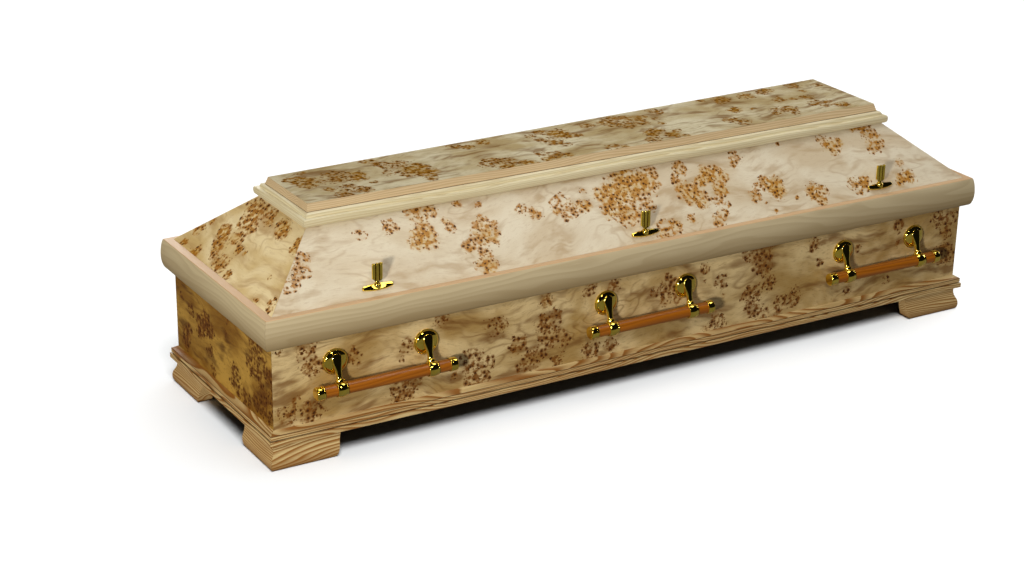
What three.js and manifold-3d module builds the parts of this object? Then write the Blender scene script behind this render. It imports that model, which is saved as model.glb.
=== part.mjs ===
// A wooden coffin: a tapered case on four bracket feet, a raised lid with four
// sloping veneered panels and a flat top panel, six carrying handles with a wooden
// bar each, and six upright lid screws.
// Millimetres, +Z up. The origin is on the floor under the middle of the coffin,
// +X points to the head end, which is the wider one, and -Y to the front side.

import * as THREE from 'three';
import { mergeVertices } from 'three/addons/utils/BufferGeometryUtils.js';
import Module from 'manifold-3d';

const wasm = await Module();
wasm.setup();

// Clearance between two pieces that touch
const GAP = 0.3;

// Numbers of sides of the round pieces and of the slim ones
const ROUND = 12;
const SLIM = 6;

// Outside of the case walls, seen from above: the half width grows by the taper
// from the middle to the head end and shrinks by it to the foot end
const CASE = { halfLength: 1000, halfWidth: 287, taper: 14, board: 20, bottom: 63, top: 299.7, floor: 20 };

// Moulding around the bottom of the case
const BASE = { reach: 17, groove: 12.5, fillet: 14, bottom: 63, groovePlace: 77, crest: 89.5, top: 97 };

// Bracket feet: lengths of the two arms at the top, measured from the case corner
const FOOT = { top: 62.7, depth: 28, sideArm: 172, endArm: 160, slant: 15, toe: 18, neck: 4, belly: 14.5 };

// Heavy rounded rim of the lid, which rests on the case walls
const RIM = { bottom: 300, top: 375, inner: -28, foot: 16, belly: 25, bellyHeight: 33, crest: 18 };

// Sloping panels of the lid, between their lower and upper edges
const SLOPE = {
  board: 16,
  low: { halfLength: 998, halfWidth: 291, z: 375.3 },
  high: { halfLength: 834, halfWidth: 134, z: 509.7 },
};

// Stepped moulding around the top of the slopes
const CROWN = { halfLength: 846, halfWidth: 146, inner: -45, bottom: 510, step: 529, top: 538, setBack: 10.5 };

// Flat top panel with bevelled edges
const TOP = {
  low: { halfLength: 828, halfWidth: 124, z: 538.3 },
  high: { halfLength: 823, halfWidth: 116.5, z: 557 },
};

// Carrying handles, three on each side
const HANDLE = { pitch: 728, halfSpan: 117, domeHeight: 236, barHeight: 179, barReach: 31 };
const ROSETTE = { flange: 32, flangeThickness: 3.4, dome: 28.5, reach: 20, neckReach: 8 };
const NECK = { start: 14, collarAt: 22, waistAt: 28, waist: 6.8, collar: 9.5 };
const SLEEVE = { width: 26, middle: 19, edge: 16.6, bore: 15.3 };
const BAR = { radius: 14.5, halfLength: 178 };
const CAP = { radius: 16.5, bore: 15.3, length: 20, end: 3 };

// Lid screws, three on each side, upright through the lid into the case walls
const SCREW = { pitch: 728, seat: 390, shank: 3, hole: 3.9, shankTip: 262, holeEnd: 258 };
const PLATE = { halfLength: 39, thickness: 5, tip: 4.6, upper: 7.7, lower: 11.5, boss: 9.5, bossTop: 9 };
const GRIP = { width: 27, reed: 3.9, fillet: 2.2, straight: 36, taper: 9, foot: 8, collar: 7, ball: 4.6, ballHeight: 13 };

const COLOURS = {
  veneer: { color: 0xd9c39c, roughness: 0.45 },
  rim: { color: 0xd2c3a4, roughness: 0.5 },
  pine: { color: 0xcbb078, roughness: 0.5 },
  inside: { color: 0xc9b691, roughness: 0.7 },
  bar: { color: 0x9c5a26, roughness: 0.35 },
  brass: { color: 0xc9a445, roughness: 0.12, metalness: 1 },
};

const coffin = new THREE.Group();

// Solids

function weld(geometry) {
  const bare = geometry.clone();
  bare.deleteAttribute('normal');
  bare.deleteAttribute('uv');
  return mergeVertices(bare, 1e-4);
}

function signedVolume(geometry) {
  const position = geometry.attributes.position;
  const corners = [new THREE.Vector3(), new THREE.Vector3(), new THREE.Vector3()];
  let volume = 0;
  for (let i = 0; i < geometry.index.count; i += 3) {
    corners.forEach((point, k) => point.fromBufferAttribute(position, geometry.index.getX(i + k)));
    volume += corners[0].dot(corners[1].cross(corners[2])) / 6;
  }
  return volume;
}

// Drops triangles that the weld has closed up and turns the faces outwards
function solid(geometry) {
  const welded = weld(geometry);
  const triangles = [];
  for (let i = 0; i < welded.index.count; i += 3) {
    const [a, b, c] = [0, 1, 2].map((k) => welded.index.getX(i + k));
    if (a !== b && b !== c && c !== a) triangles.push(a, b, c);
  }
  welded.setIndex(triangles);
  if (signedVolume(welded) < 0) welded.setIndex(triangles.reverse());
  return welded;
}

function toManifold(geometry) {
  const body = solid(geometry);
  return new wasm.Manifold(new wasm.Mesh({
    numProp: 3,
    vertProperties: new Float32Array(body.attributes.position.array),
    triVerts: new Uint32Array(body.index.array),
  }));
}

function fromManifold(manifold) {
  const mesh = manifold.getMesh();
  const geometry = new THREE.BufferGeometry();
  geometry.setAttribute('position', new THREE.BufferAttribute(mesh.vertProperties, 3));
  geometry.setIndex(new THREE.BufferAttribute(mesh.triVerts, 1));
  return geometry;
}

function join(...geometries) {
  return fromManifold(geometries.map(toManifold).reduce((whole, piece) => whole.add(piece)));
}

function cut(geometry, ...tools) {
  return fromManifold(tools.map(toManifold).reduce((rest, tool) => rest.subtract(tool), toManifold(geometry)));
}

function overlapOf(first, second) {
  return fromManifold(toManifold(first).intersect(toManifold(second)));
}

function addPiece(parent, name, geometry, look) {
  const material = new THREE.MeshStandardMaterial({ metalness: 0, ...COLOURS[look] });
  const mesh = new THREE.Mesh(geometry, material);
  mesh.name = name;
  parent.add(mesh);
  return mesh;
}

// Tapered rectangles: a level is one rectangle of the plan at one height

const CORNERS = [[-1, -1], [1, -1], [1, 1], [-1, 1]];
const SIDES = ['front', 'head', 'back', 'foot'];

function widthAt(halfWidth, x) {
  return halfWidth + CASE.taper * x / CASE.halfLength;
}

function levelAt(plan, offset, z) {
  return { halfLength: plan.halfLength + offset, halfWidth: plan.halfWidth + offset, z };
}

function cornerOf(level, index) {
  const [alongX, alongY] = CORNERS[index % CORNERS.length];
  const x = alongX * level.halfLength;
  const taperedWidth = level.halfWidth > 0 ? widthAt(level.halfWidth, x) : 0;
  return new THREE.Vector3(x, alongY * taperedWidth, level.z);
}

// A profile turned in four steps whose corners are then pulled out to the mitres
function mitred(levels) {
  const profile = levels.map(({ halfLength, z }) => new THREE.Vector2(halfLength, z));
  const geometry = new THREE.LatheGeometry(profile, CORNERS.length);
  const position = geometry.attributes.position;
  for (let i = 0; i < position.count; i += 1) {
    const point = cornerOf(levels[i % levels.length], Math.floor(i / levels.length));
    position.setXYZ(i, point.x, point.y, point.z);
  }
  return solid(geometry);
}

function mitredFrame(levels) {
  return mitred([...levels, levels[0]]);
}

// A full panel: its levels are closed over the middle, below and above
function mitredPanel(low, high) {
  const middle = { halfLength: 0, halfWidth: 0 };
  return mitred([{ ...middle, z: low.z }, low, high, { ...middle, z: high.z }]);
}

// One of the four boards of a mitred frame, short of both mitres by the clearance
function mitredBoard(levels, side) {
  const shape = new THREE.Shape(levels.map(({ halfLength, z }) => new THREE.Vector2(halfLength, z)));
  const geometry = new THREE.ExtrudeGeometry(shape, { depth: 1, bevelEnabled: false });
  const position = geometry.attributes.position;
  const first = SIDES.indexOf(side);
  const near = (a, b) => Math.abs(a - b) < 0.01;
  for (let i = 0; i < position.count; i += 1) {
    const level = levels.find(({ halfLength, z }) => near(halfLength, position.getX(i)) && near(z, position.getY(i)));
    const start = cornerOf(level, first);
    const end = cornerOf(level, first + 1);
    const step = end.clone().sub(start).setLength(GAP);
    const point = position.getZ(i) < 0.5 ? start.add(step) : end.sub(step);
    position.setXYZ(i, point.x, point.y, point.z);
  }
  return solid(geometry);
}

function profileLevels(plan, outline, divisions) {
  const points = outline.getPoints(divisions);
  const last = points[points.length - 1];
  if (last.distanceTo(points[0]) < 1e-3) points.pop();
  return points.map(({ x, y }) => levelAt(plan, x, y));
}

// Case

const SCREW_PLACES = [-1, 0, 1].map((step) => step * SCREW.pitch);

// Where the upright axis of a lid screw meets the outer face of its slope
function screwFoot(x, side) {
  const rise = (SCREW.seat - SLOPE.low.z) / (SLOPE.high.z - SLOPE.low.z);
  const halfWidth = THREE.MathUtils.lerp(SLOPE.low.halfWidth, SLOPE.high.halfWidth, rise);
  return new THREE.Vector3(x, side * widthAt(halfWidth, x), SCREW.seat);
}

// Holes for the shanks of the three screws on one side
function screwHoles(side) {
  const length = SCREW.seat + 2 * SLOPE.board - SCREW.holeEnd;
  return SCREW_PLACES.map((x) => {
    const foot = screwFoot(x, side);
    const hole = new THREE.CylinderGeometry(SCREW.hole, SCREW.hole, length, SLIM);
    return hole.rotateX(Math.PI / 2).translate(foot.x, foot.y, SCREW.holeEnd + length / 2);
  });
}

function sideSign(side) {
  return side === 'front' ? -1 : 1;
}

function addCase() {
  const walls = [
    levelAt(CASE, 0, CASE.bottom),
    levelAt(CASE, 0, CASE.top),
    levelAt(CASE, -CASE.board, CASE.top),
    levelAt(CASE, -CASE.board, CASE.bottom),
  ];
  for (const side of ['front', 'back']) {
    const board = cut(mitredBoard(walls, side), ...screwHoles(sideSign(side)));
    addPiece(coffin, `case_side_${side}`, board, 'veneer');
  }
  for (const end of ['foot', 'head']) {
    addPiece(coffin, `case_end_${end}`, mitredBoard(walls, end), 'veneer');
  }
  const floorOffset = -CASE.board - GAP;
  const floor = mitredPanel(
    levelAt(CASE, floorOffset, CASE.bottom),
    levelAt(CASE, floorOffset, CASE.bottom + CASE.floor),
  );
  addPiece(coffin, 'case_floor', floor, 'inside');
}

function addBaseMoulding() {
  const round = 1.5;
  const outline = new THREE.Shape();
  outline.moveTo(GAP, BASE.bottom);
  outline.lineTo(BASE.reach - round, BASE.bottom);
  outline.quadraticCurveTo(BASE.reach, BASE.bottom, BASE.reach, BASE.bottom + round);
  outline.lineTo(BASE.reach, BASE.groovePlace - 2 * round);
  outline.quadraticCurveTo(BASE.reach, BASE.groovePlace - round, BASE.reach - round, BASE.groovePlace - round);
  outline.lineTo(BASE.groove, BASE.groovePlace - round);
  outline.lineTo(BASE.groove, BASE.groovePlace);
  outline.lineTo(BASE.fillet, BASE.groovePlace + round);
  outline.lineTo(BASE.fillet, BASE.crest - round);
  outline.quadraticCurveTo(BASE.fillet, BASE.crest, BASE.fillet - round, BASE.crest);
  outline.lineTo(GAP, BASE.top);
  addPiece(coffin, 'base_moulding', mitredFrame(profileLevels(CASE, outline, 2)), 'pine');
}

// Feet

function footOutline() {
  const outline = new THREE.Shape();
  const { neck, belly, top } = FOOT;
  outline.moveTo(-FOOT.depth + neck, 0);
  outline.lineTo(belly - 7, 0);
  outline.bezierCurveTo(belly - 2, 1, belly, 7, belly, 15);
  outline.bezierCurveTo(belly, 31, neck + 1, 33, neck, top - 12);
  outline.lineTo(neck, top);
  outline.lineTo(-FOOT.depth + neck, top);
  return outline;
}

// Side view of one arm, from behind the corner to its slanted and rounded end
function armOutline(length) {
  const outline = new THREE.Shape();
  const below = length - FOOT.slant;
  outline.moveTo(-50, -1);
  outline.lineTo(below - FOOT.toe, -1);
  outline.bezierCurveTo(below - FOOT.toe / 2, 0, below - 2, 4, below, FOOT.toe);
  outline.lineTo(length, FOOT.top + 1);
  outline.lineTo(-50, FOOT.top + 1);
  return outline;
}

// The block that one arm is cut from: the arm runs along X from the case corner
function armBlock(length) {
  const block = new THREE.ExtrudeGeometry(armOutline(length), { depth: 60, bevelEnabled: false, curveSegments: 3 });
  return block.rotateX(Math.PI / 2).translate(0, FOOT.depth - FOOT.neck + 0.5, 0);
}

// Puts an arm block at a case corner and turns or mirrors it to point inwards
function placedArm(length, corner, alongEnd) {
  const [signX, signY] = CORNERS[corner];
  const block = armBlock(length);
  if (alongEnd) block.applyMatrix4(new THREE.Matrix4().set(0, 1, 0, 0, 1, 0, 0, 0, 0, 0, 1, 0, 0, 0, 0, 1));
  block.scale(-signX, -signY, 1);
  const place = cornerOf(levelAt(CASE, 0, 0), corner);
  const slope = Math.atan2(CASE.taper, CASE.halfLength);
  if (!alongEnd) block.rotateZ(signY * slope);
  return block.translate(place.x, place.y, 0);
}

function addFeet() {
  const ring = mitredFrame(profileLevels(CASE, footOutline(), 4));
  const names = ['front_foot_end', 'front_head_end', 'back_head_end', 'back_foot_end'];
  names.forEach((name, corner) => {
    const arms = join(placedArm(FOOT.sideArm, corner, false), placedArm(FOOT.endArm, corner, true));
    addPiece(coffin, `bracket_foot_${name}`, overlapOf(ring, arms), 'pine');
  });
}

// Lid

function addRim() {
  const outline = new THREE.Shape();
  const middle = RIM.bottom + RIM.bellyHeight;
  outline.moveTo(RIM.inner, RIM.bottom);
  outline.lineTo(RIM.foot, RIM.bottom);
  outline.bezierCurveTo(RIM.foot + 5, RIM.bottom + 2, RIM.belly, middle - 16, RIM.belly, middle);
  outline.bezierCurveTo(RIM.belly, middle + 18, RIM.crest + 4, RIM.top - 2, RIM.crest, RIM.top);
  outline.lineTo(RIM.inner, RIM.top);
  const frame = mitredFrame(profileLevels(CASE, outline, 5));
  addPiece(coffin, 'lid_rim', cut(frame, ...screwHoles(-1), ...screwHoles(1)), 'rim');
}

// Levels of the sloping boards, whose edges are cut level above and below
function slopeLevels() {
  const { low, high, board } = SLOPE;
  const rise = high.z - low.z;
  const inset = (key) => board * Math.hypot(rise, low[key] - high[key]) / rise;
  const inner = ({ halfLength, halfWidth, z }) => ({
    halfLength: halfLength - inset('halfLength'),
    halfWidth: halfWidth - inset('halfWidth'),
    z,
  });
  return [low, high, inner(high), inner(low)];
}

function addSlopes() {
  for (const side of SIDES) {
    const board = mitredBoard(slopeLevels(), side);
    const isLong = side === 'front' || side === 'back';
    const finished = isLong ? cut(board, ...screwHoles(sideSign(side))) : board;
    addPiece(coffin, `lid_slope_${side}`, finished, 'veneer');
  }
}

function addCrown() {
  const outline = new THREE.Shape();
  const { inner, bottom, step, top, setBack } = CROWN;
  outline.moveTo(inner, bottom);
  outline.lineTo(-2, bottom);
  outline.lineTo(1, bottom + 3);
  outline.bezierCurveTo(2, bottom + 8, 4, step - 3, -1, step);
  outline.lineTo(-setBack + 0.5, step);
  outline.bezierCurveTo(-setBack + 0.5, step + 4, -setBack, top - 1, -setBack - 3, top);
  outline.lineTo(inner, top);
  addPiece(coffin, 'lid_upper_moulding', mitredFrame(profileLevels(CROWN, outline, 4)), 'rim');
}

function addTopPanel() {
  addPiece(coffin, 'lid_top_panel', mitredPanel(TOP.low, TOP.high), 'veneer');
}

// Handles: built for the front side, with X along the wall and -Y pointing out of it

// A flat flange on the wall with a shallow dome on it
function rosette() {
  const { flange, flangeThickness, dome, reach } = ROSETTE;
  const profile = [[0, 0], [flange, 0], [flange, flangeThickness]];
  const steps = 3;
  for (let i = 0; i <= steps; i += 1) {
    const angle = (Math.PI / 2) * (i / steps);
    const rise = (reach - flangeThickness) * Math.sin(angle);
    profile.push([i === steps ? 0 : dome * Math.cos(angle), flangeThickness + rise]);
  }
  const points = profile.map(([radius, along]) => new THREE.Vector2(radius, along));
  return new THREE.LatheGeometry(points, ROUND).rotateX(Math.PI);
}

// The neck leans out from inside the dome to the middle of the bar
function neck() {
  const from = new THREE.Vector3(0, -ROSETTE.neckReach, 0);
  const drop = new THREE.Vector3(0, -HANDLE.barReach, HANDLE.barHeight - HANDLE.domeHeight).sub(from);
  const length = drop.length();
  const { start, collarAt, waistAt, waist, collar } = NECK;
  const end = length - SLEEVE.bore - 1;
  const profile = [
    [0, start], [collar, collarAt], [waist, waistAt],
    [waist, length - SLEEVE.middle - 4], [collar, end], [0, end],
  ];
  const points = profile.map(([radius, along]) => new THREE.Vector2(radius, along));
  const turn = new THREE.Quaternion().setFromUnitVectors(new THREE.Vector3(0, 1, 0), drop.clone().normalize());
  return new THREE.LatheGeometry(points, SLIM).applyQuaternion(turn).translate(from.x, from.y, from.z);
}

function sleeve() {
  const { width, middle, edge, bore } = SLEEVE;
  const half = width / 2;
  const profile = [
    [bore, -half], [edge, -half], [middle, -half / 3], [middle, half / 3], [edge, half], [bore, half], [bore, -half],
  ];
  const points = profile.map(([radius, along]) => new THREE.Vector2(radius, along));
  const drop = HANDLE.barHeight - HANDLE.domeHeight;
  return new THREE.LatheGeometry(points, ROUND).rotateZ(Math.PI / 2).translate(0, -HANDLE.barReach, drop);
}

function bracket() {
  return join(rosette(), neck(), sleeve());
}

function endCap() {
  const { radius, bore, length, end } = CAP;
  const profile = [
    [0, length], [radius - 3, length], [radius, length - 4], [radius, 0],
    [bore, 0], [bore, length - end + GAP], [0, length - end + GAP],
  ];
  const points = profile.map(([r, along]) => new THREE.Vector2(r, along));
  return new THREE.LatheGeometry(points, ROUND).rotateZ(-Math.PI / 2);
}

function addHandles() {
  const shapes = { bracket: solid(bracket()), cap: solid(endCap()) };
  const bar = new THREE.CylinderGeometry(BAR.radius, BAR.radius, 2 * BAR.halfLength, ROUND).rotateZ(Math.PI / 2);
  const lean = Math.atan2(CASE.taper, CASE.halfLength);
  for (const side of ['front', 'back']) {
    const wall = new THREE.Group();
    wall.position.y = sideSign(side) * CASE.halfWidth;
    wall.rotation.z = side === 'front' ? -lean : Math.PI + lean;
    coffin.add(wall);
    const towardsHead = -sideSign(side);
    ['foot', 'middle', 'head'].forEach((place, index) => {
      const handle = new THREE.Group();
      handle.position.x = towardsHead * (index - 1) * HANDLE.pitch;
      wall.add(handle);
      const name = `${side}_${place}_handle`;
      const barMesh = addPiece(handle, `${name}_bar`, bar, 'bar');
      barMesh.position.set(0, -HANDLE.barReach, HANDLE.barHeight);
      for (const [end, sign] of [['a', -1], ['b', 1]]) {
        const along = sign * towardsHead;
        const bracketMesh = addPiece(handle, `${name}_bracket_${end}`, shapes.bracket, 'brass');
        bracketMesh.position.set(along * HANDLE.halfSpan, -GAP, HANDLE.domeHeight);
        const capMesh = addPiece(handle, `${name}_cap_${end}`, shapes.cap, 'brass');
        const capStart = BAR.halfLength + CAP.end - CAP.length;
        capMesh.position.set(along * capStart, -HANDLE.barReach, HANDLE.barHeight);
        if (along < 0) capMesh.rotation.z = Math.PI;
      }
    });
  }
}

// Lid screws: built for the front slope, with the origin where the axis meets it

function slopeAngle() {
  const { low, high } = SLOPE;
  return Math.atan2(high.z - low.z, low.halfWidth - high.halfWidth);
}

function plateOutline() {
  const { halfLength, tip, upper, lower } = PLATE;
  const end = 3;
  const outline = new THREE.Shape();
  outline.moveTo(-halfLength + end, -tip);
  outline.quadraticCurveTo(0, tip - 2 * lower, halfLength - end, -tip);
  outline.bezierCurveTo(halfLength + 1, -tip, halfLength + 1, tip, halfLength - end, tip);
  outline.quadraticCurveTo(0, 2 * upper - tip, -halfLength + end, tip);
  outline.bezierCurveTo(-halfLength - 1, tip, -halfLength - 1, -tip, -halfLength + end, -tip);
  return outline;
}

function screwPlate() {
  const angle = slopeAngle();
  const settings = { depth: PLATE.thickness, bevelEnabled: false, curveSegments: 3 };
  const plate = new THREE.ExtrudeGeometry(plateOutline(), settings).translate(0, 0, GAP).rotateX(angle);
  const { boss, bossTop } = PLATE;
  const stud = new THREE.CylinderGeometry(boss - 1.5, boss, 2 * bossTop, 8).rotateX(Math.PI / 2);
  const panel = new THREE.BoxGeometry(200, 200, 60).translate(0, 0, GAP - 30).rotateX(angle);
  const hole = new THREE.CylinderGeometry(SCREW.hole, SCREW.hole, 60, SLIM).rotateX(Math.PI / 2);
  return cut(join(plate, stud), panel, hole);
}

// Flat grip with three upright reeds on each face, narrowed at its foot
function grip() {
  const { width, reed, fillet, straight, taper, foot, ballHeight } = GRIP;
  const plan = new THREE.Shape();
  const reeds = [-1, 0, 1].map((step) => step * (width / 2 - reed));
  const valley = Math.asin(fillet / reed);
  const [left, , right] = reeds;
  plan.moveTo(-width / 2, 0);
  reeds.forEach((x) => {
    const start = Math.PI + (x > left ? valley : 0);
    plan.absarc(x, 0, reed, start, 2 * Math.PI - (x < right ? valley : 0), false);
  });
  [...reeds].reverse().forEach((x) => {
    const start = x < right ? valley : 0;
    plan.absarc(x, 0, reed, start, Math.PI - (x > left ? valley : 0), false);
  });
  const height = taper + straight;
  const body = new THREE.ExtrudeGeometry(plan, { depth: height, bevelEnabled: false, curveSegments: 3 });
  const face = new THREE.Shape();
  face.moveTo(-foot / 2, 0);
  face.lineTo(foot / 2, 0);
  face.lineTo(width, taper * (width - foot / 2) / (width / 2 - foot / 2));
  face.lineTo(width, height + 1);
  face.lineTo(-width, height + 1);
  face.lineTo(-width, taper * (width - foot / 2) / (width / 2 - foot / 2));
  const window = new THREE.ExtrudeGeometry(face, { depth: 30, bevelEnabled: false }).rotateX(Math.PI / 2);
  return overlapOf(body, window.translate(0, 15, 0)).translate(0, 0, ballHeight);
}

function lidScrew() {
  const { collar, ball, ballHeight } = GRIP;
  const seat = PLATE.bossTop + GAP;
  const tip = SCREW.shankTip - SCREW.seat;
  const profile = [
    [0, tip - 4], [SCREW.shank, tip], [SCREW.shank, seat], [collar, seat], [collar, seat + 1.6],
    [ball, ballHeight + 1], [0, ballHeight + 5],
  ];
  const points = profile.map(([radius, z]) => new THREE.Vector2(radius, z));
  const stem = new THREE.LatheGeometry(points, SLIM).rotateX(Math.PI / 2);
  return join(stem, grip());
}

function addScrews() {
  const plate = solid(screwPlate());
  const screw = solid(lidScrew());
  const lean = Math.atan2(CASE.taper, CASE.halfLength);
  for (const side of ['front', 'back']) {
    ['foot', 'middle', 'head'].forEach((place, index) => {
      const name = `${side}_${place}_lid_screw`;
      for (const [part, geometry] of [[name, screw], [`${name}_plate`, plate]]) {
        const mesh = addPiece(coffin, part, geometry, 'brass');
        mesh.position.copy(screwFoot(SCREW_PLACES[index], sideSign(side)));
        mesh.rotation.z = side === 'front' ? -lean : Math.PI + lean;
      }
    });
  }
}

addCase();
addBaseMoulding();
addFeet();
addRim();
addSlopes();
addCrown();
addTopPanel();
addHandles();
addScrews();

export default coffin;
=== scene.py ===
# %% [markdown]
# # A wooden coffin, from solids to a picture
# The solids of the coffin are already there: walls, lid, handles and screws, each in its place.
# This lesson dresses them. Every wooden board is made again with its veneer or its grain running
# the right way, and every brass fitting is turned on a virtual lathe, so that the surfaces look
# like the real ones from close by. Lengths are in metres and +Z is up. +X is the head end.

# %% Load the solids
import math
import random

import bmesh
import bpy
from mathutils import Matrix, Vector, noise
from mathutils.geometry import interpolate_bezier


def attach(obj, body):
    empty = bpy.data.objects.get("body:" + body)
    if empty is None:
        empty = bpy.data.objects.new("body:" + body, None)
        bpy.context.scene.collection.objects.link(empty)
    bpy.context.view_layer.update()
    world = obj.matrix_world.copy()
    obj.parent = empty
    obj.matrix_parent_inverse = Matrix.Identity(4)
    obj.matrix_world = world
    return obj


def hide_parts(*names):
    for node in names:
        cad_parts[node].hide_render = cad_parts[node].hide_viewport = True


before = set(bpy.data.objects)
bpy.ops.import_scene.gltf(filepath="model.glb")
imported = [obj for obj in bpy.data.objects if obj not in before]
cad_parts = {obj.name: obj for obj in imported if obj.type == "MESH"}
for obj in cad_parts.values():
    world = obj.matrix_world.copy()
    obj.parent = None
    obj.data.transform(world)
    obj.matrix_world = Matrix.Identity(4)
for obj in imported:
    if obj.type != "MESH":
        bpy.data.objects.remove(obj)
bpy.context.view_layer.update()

# %% [markdown]
# ## The camera
# The picture was taken from the front left, a little above the lid, with a long lens. A long lens
# from further away keeps the far edges nearly parallel. The camera could be aimed by an empty that it
# tracks, but three angles and a place are shorter, and they say exactly where it stands.

# %% Camera
LENS, SENSOR = 74.8, 36.0
CAMERA_PLACE = (-2.7967, -4.2343, 2.2178)
AZIMUTH, LOOKING_DOWN, ROLL = -31.432, 22.348, 0.911


def in_scene(name, data):
    """An object that shows some data, linked to the scene."""
    thing = bpy.data.objects.new(name, data)
    bpy.context.scene.collection.objects.link(thing)
    return thing


camera_data = bpy.data.cameras.new("camera")
camera_data.sensor_width = SENSOR
camera_data.lens = LENS
camera_data.clip_end = 100
camera = in_scene("camera", camera_data)
bpy.context.scene.camera = camera
turn = Matrix.Rotation(math.radians(AZIMUTH), 4, "Z")
tilt = Matrix.Rotation(math.radians(90 - LOOKING_DOWN), 4, "X")
roll = Matrix.Rotation(math.radians(ROLL), 4, "Z")
camera.matrix_world = Matrix.Translation(CAMERA_PLACE) @ turn @ tilt @ roll
print("camera", CAMERA_PLACE)

# %% [markdown]
# ## A short way to wire nodes
# A material made of nodes soon has forty of them. Written out one by one they hide the idea, so this
# small class adds a node, sets it, joins it and hands back its output. The rest of the file can then
# be read like a sum.


# %% Node bench
class Bench:
    """A node tree with short words for its nodes. Every word returns an output socket."""

    def __init__(self, tree):
        self.tree = tree

    def fill(self, node, values):
        """Joins or sets the inputs of a node."""
        for key, value in values.items():
            if isinstance(value, bpy.types.NodeSocket):
                self.tree.links.new(value, node.inputs[key])
            else:
                node.inputs[key].default_value = value
        return node.outputs

    def put(self, kind, values, output=0, **settings):
        node = self.tree.nodes.new("ShaderNode" + kind)
        for key, value in settings.items():
            setattr(node, key, value)
        return self.fill(node, values)[output]

    def math(self, operation, *values):
        return self.put("Math", dict(enumerate(values)), operation=operation)

    def vector(self, operation, *values):
        return self.put("VectorMath", dict(enumerate(values)), operation=operation)

    def scaled(self, vector, factors):
        return self.vector("MULTIPLY", vector, factors)

    def fade(self, value, low, high, to_low=0.0, to_high=1.0):
        """A smooth step from one value to another."""
        ends = {"From Min": low, "From Max": high, "To Min": to_low, "To Max": to_high}
        return self.put("MapRange", {"Value": value, **ends}, interpolation_type="SMOOTHSTEP")

    def mix(self, factor, first, second, kind="MIX"):
        return self.put("Mix", {0: factor, 6: first, 7: second}, 2, data_type="RGBA", blend_type=kind)

    def cloud(self, vector, scale, detail=2.0, roughness=0.5, output=0, dimensions="3D"):
        values = {"Vector": vector, "Scale": scale, "Detail": detail, "Roughness": roughness}
        return self.put("TexNoise", values, output, noise_dimensions=dimensions)

    def stirred(self, vector, scale, amount, detail=1.0):
        """The same place, pushed about by a noise: straight patterns come out wavy."""
        push = self.cloud(vector, scale, detail, output=1)
        push = self.vector("SUBTRACT", push, (0.5, 0.5, 0.5))
        push = self.scaled(push, (2 * amount, 2 * amount, 2 * amount))
        return self.vector("ADD", vector, push)

    def waves(self, value, count, shift=0.0):
        """A sine of the value, from 0 to 1."""
        angle = self.math("MULTIPLY_ADD", value, count, shift)
        return self.math("MULTIPLY_ADD", self.math("SINE", angle), 0.5, 0.5)


def new_group(name, inputs, outputs):
    """An empty shader node group with named sockets, and the bench to fill it on."""
    tree = bpy.data.node_groups.new(name, "ShaderNodeTree")
    for label, kind, value in inputs:
        socket = tree.interface.new_socket(name=label, in_out="INPUT", socket_type="NodeSocket" + kind)
        if value is not None:
            socket.default_value = value
    for label, kind in outputs:
        tree.interface.new_socket(name=label, in_out="OUTPUT", socket_type="NodeSocket" + kind)
    given = tree.nodes.new("NodeGroupInput").outputs
    result = tree.nodes.new("NodeGroupOutput").inputs
    return tree, Bench(tree), given, result


def new_finish(name, **constants):
    """A material with its bench and its shader, whose plain numbers are set here."""
    finish = bpy.data.materials.new(name)
    finish.use_nodes = True
    shader = finish.node_tree.nodes["Principled BSDF"]
    for label, value in constants.items():
        shader.inputs[label.replace("_", " ")].default_value = value
    return finish, Bench(finish.node_tree), shader.inputs


def use_group(bench, group, values):
    """Places a node group in a material and returns its outputs by name."""
    node = bench.tree.nodes.new("ShaderNodeGroup")
    node.node_tree = group
    return bench.fill(node, values)


# %% [markdown]
# ## Floor and light
# The coffin stands in a studio with a pale floor and a dark room around it. The room is dark so that
# the polished brass has something black to mirror, and the soft boxes give it its white streaks. One
# set of lamps could do all, but a floor as bright as this one and the soft shadows on the coffin ask for
# different lamps. So six soft boxes light all but the floor: a low one at the left throws the
# shadows of the handles on the wall, a wide one overhead fills the slopes, a yellow board warms the
# foot end, and one behind and one at the head keep the far sides from going black. Two suns with wide
# discs light the floor alone. The floor also has three tones: what the camera sees, what
# the brass mirrors, and what it throws back as soft light.

# %% Floor
FLOOR_REACH = 30
FLOOR_SEEN = (0.87, 0.88, 0.88, 1)
FLOOR_MIRRORED = (0.14, 0.14, 0.125, 1)
FLOOR_THROWN = (0.05, 0.05, 0.05, 1)
shape = bmesh.new()
bmesh.ops.create_grid(shape, x_segments=1, y_segments=1, size=FLOOR_REACH)
floor_mesh = bpy.data.meshes.new("floor")
shape.to_mesh(floor_mesh)
shape.free()
floor = in_scene("floor", floor_mesh)
floor_paint, bench, shader = new_finish("studio_floor", Roughness=0.9, Specular_IOR_Level=0.0)
tone = bench.mix(bench.put("LightPath", {}, "Is Glossy Ray"), FLOOR_THROWN, FLOOR_MIRRORED)
tone = bench.mix(bench.put("LightPath", {}, "Is Camera Ray"), tone, FLOOR_SEEN)
bench.tree.links.new(tone, shader["Base Color"])
floor_mesh.materials.append(floor_paint)
print("floor", floor.name)

# %% Lamps
MIDDLE = Vector((0, 0, 0.25))


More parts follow.
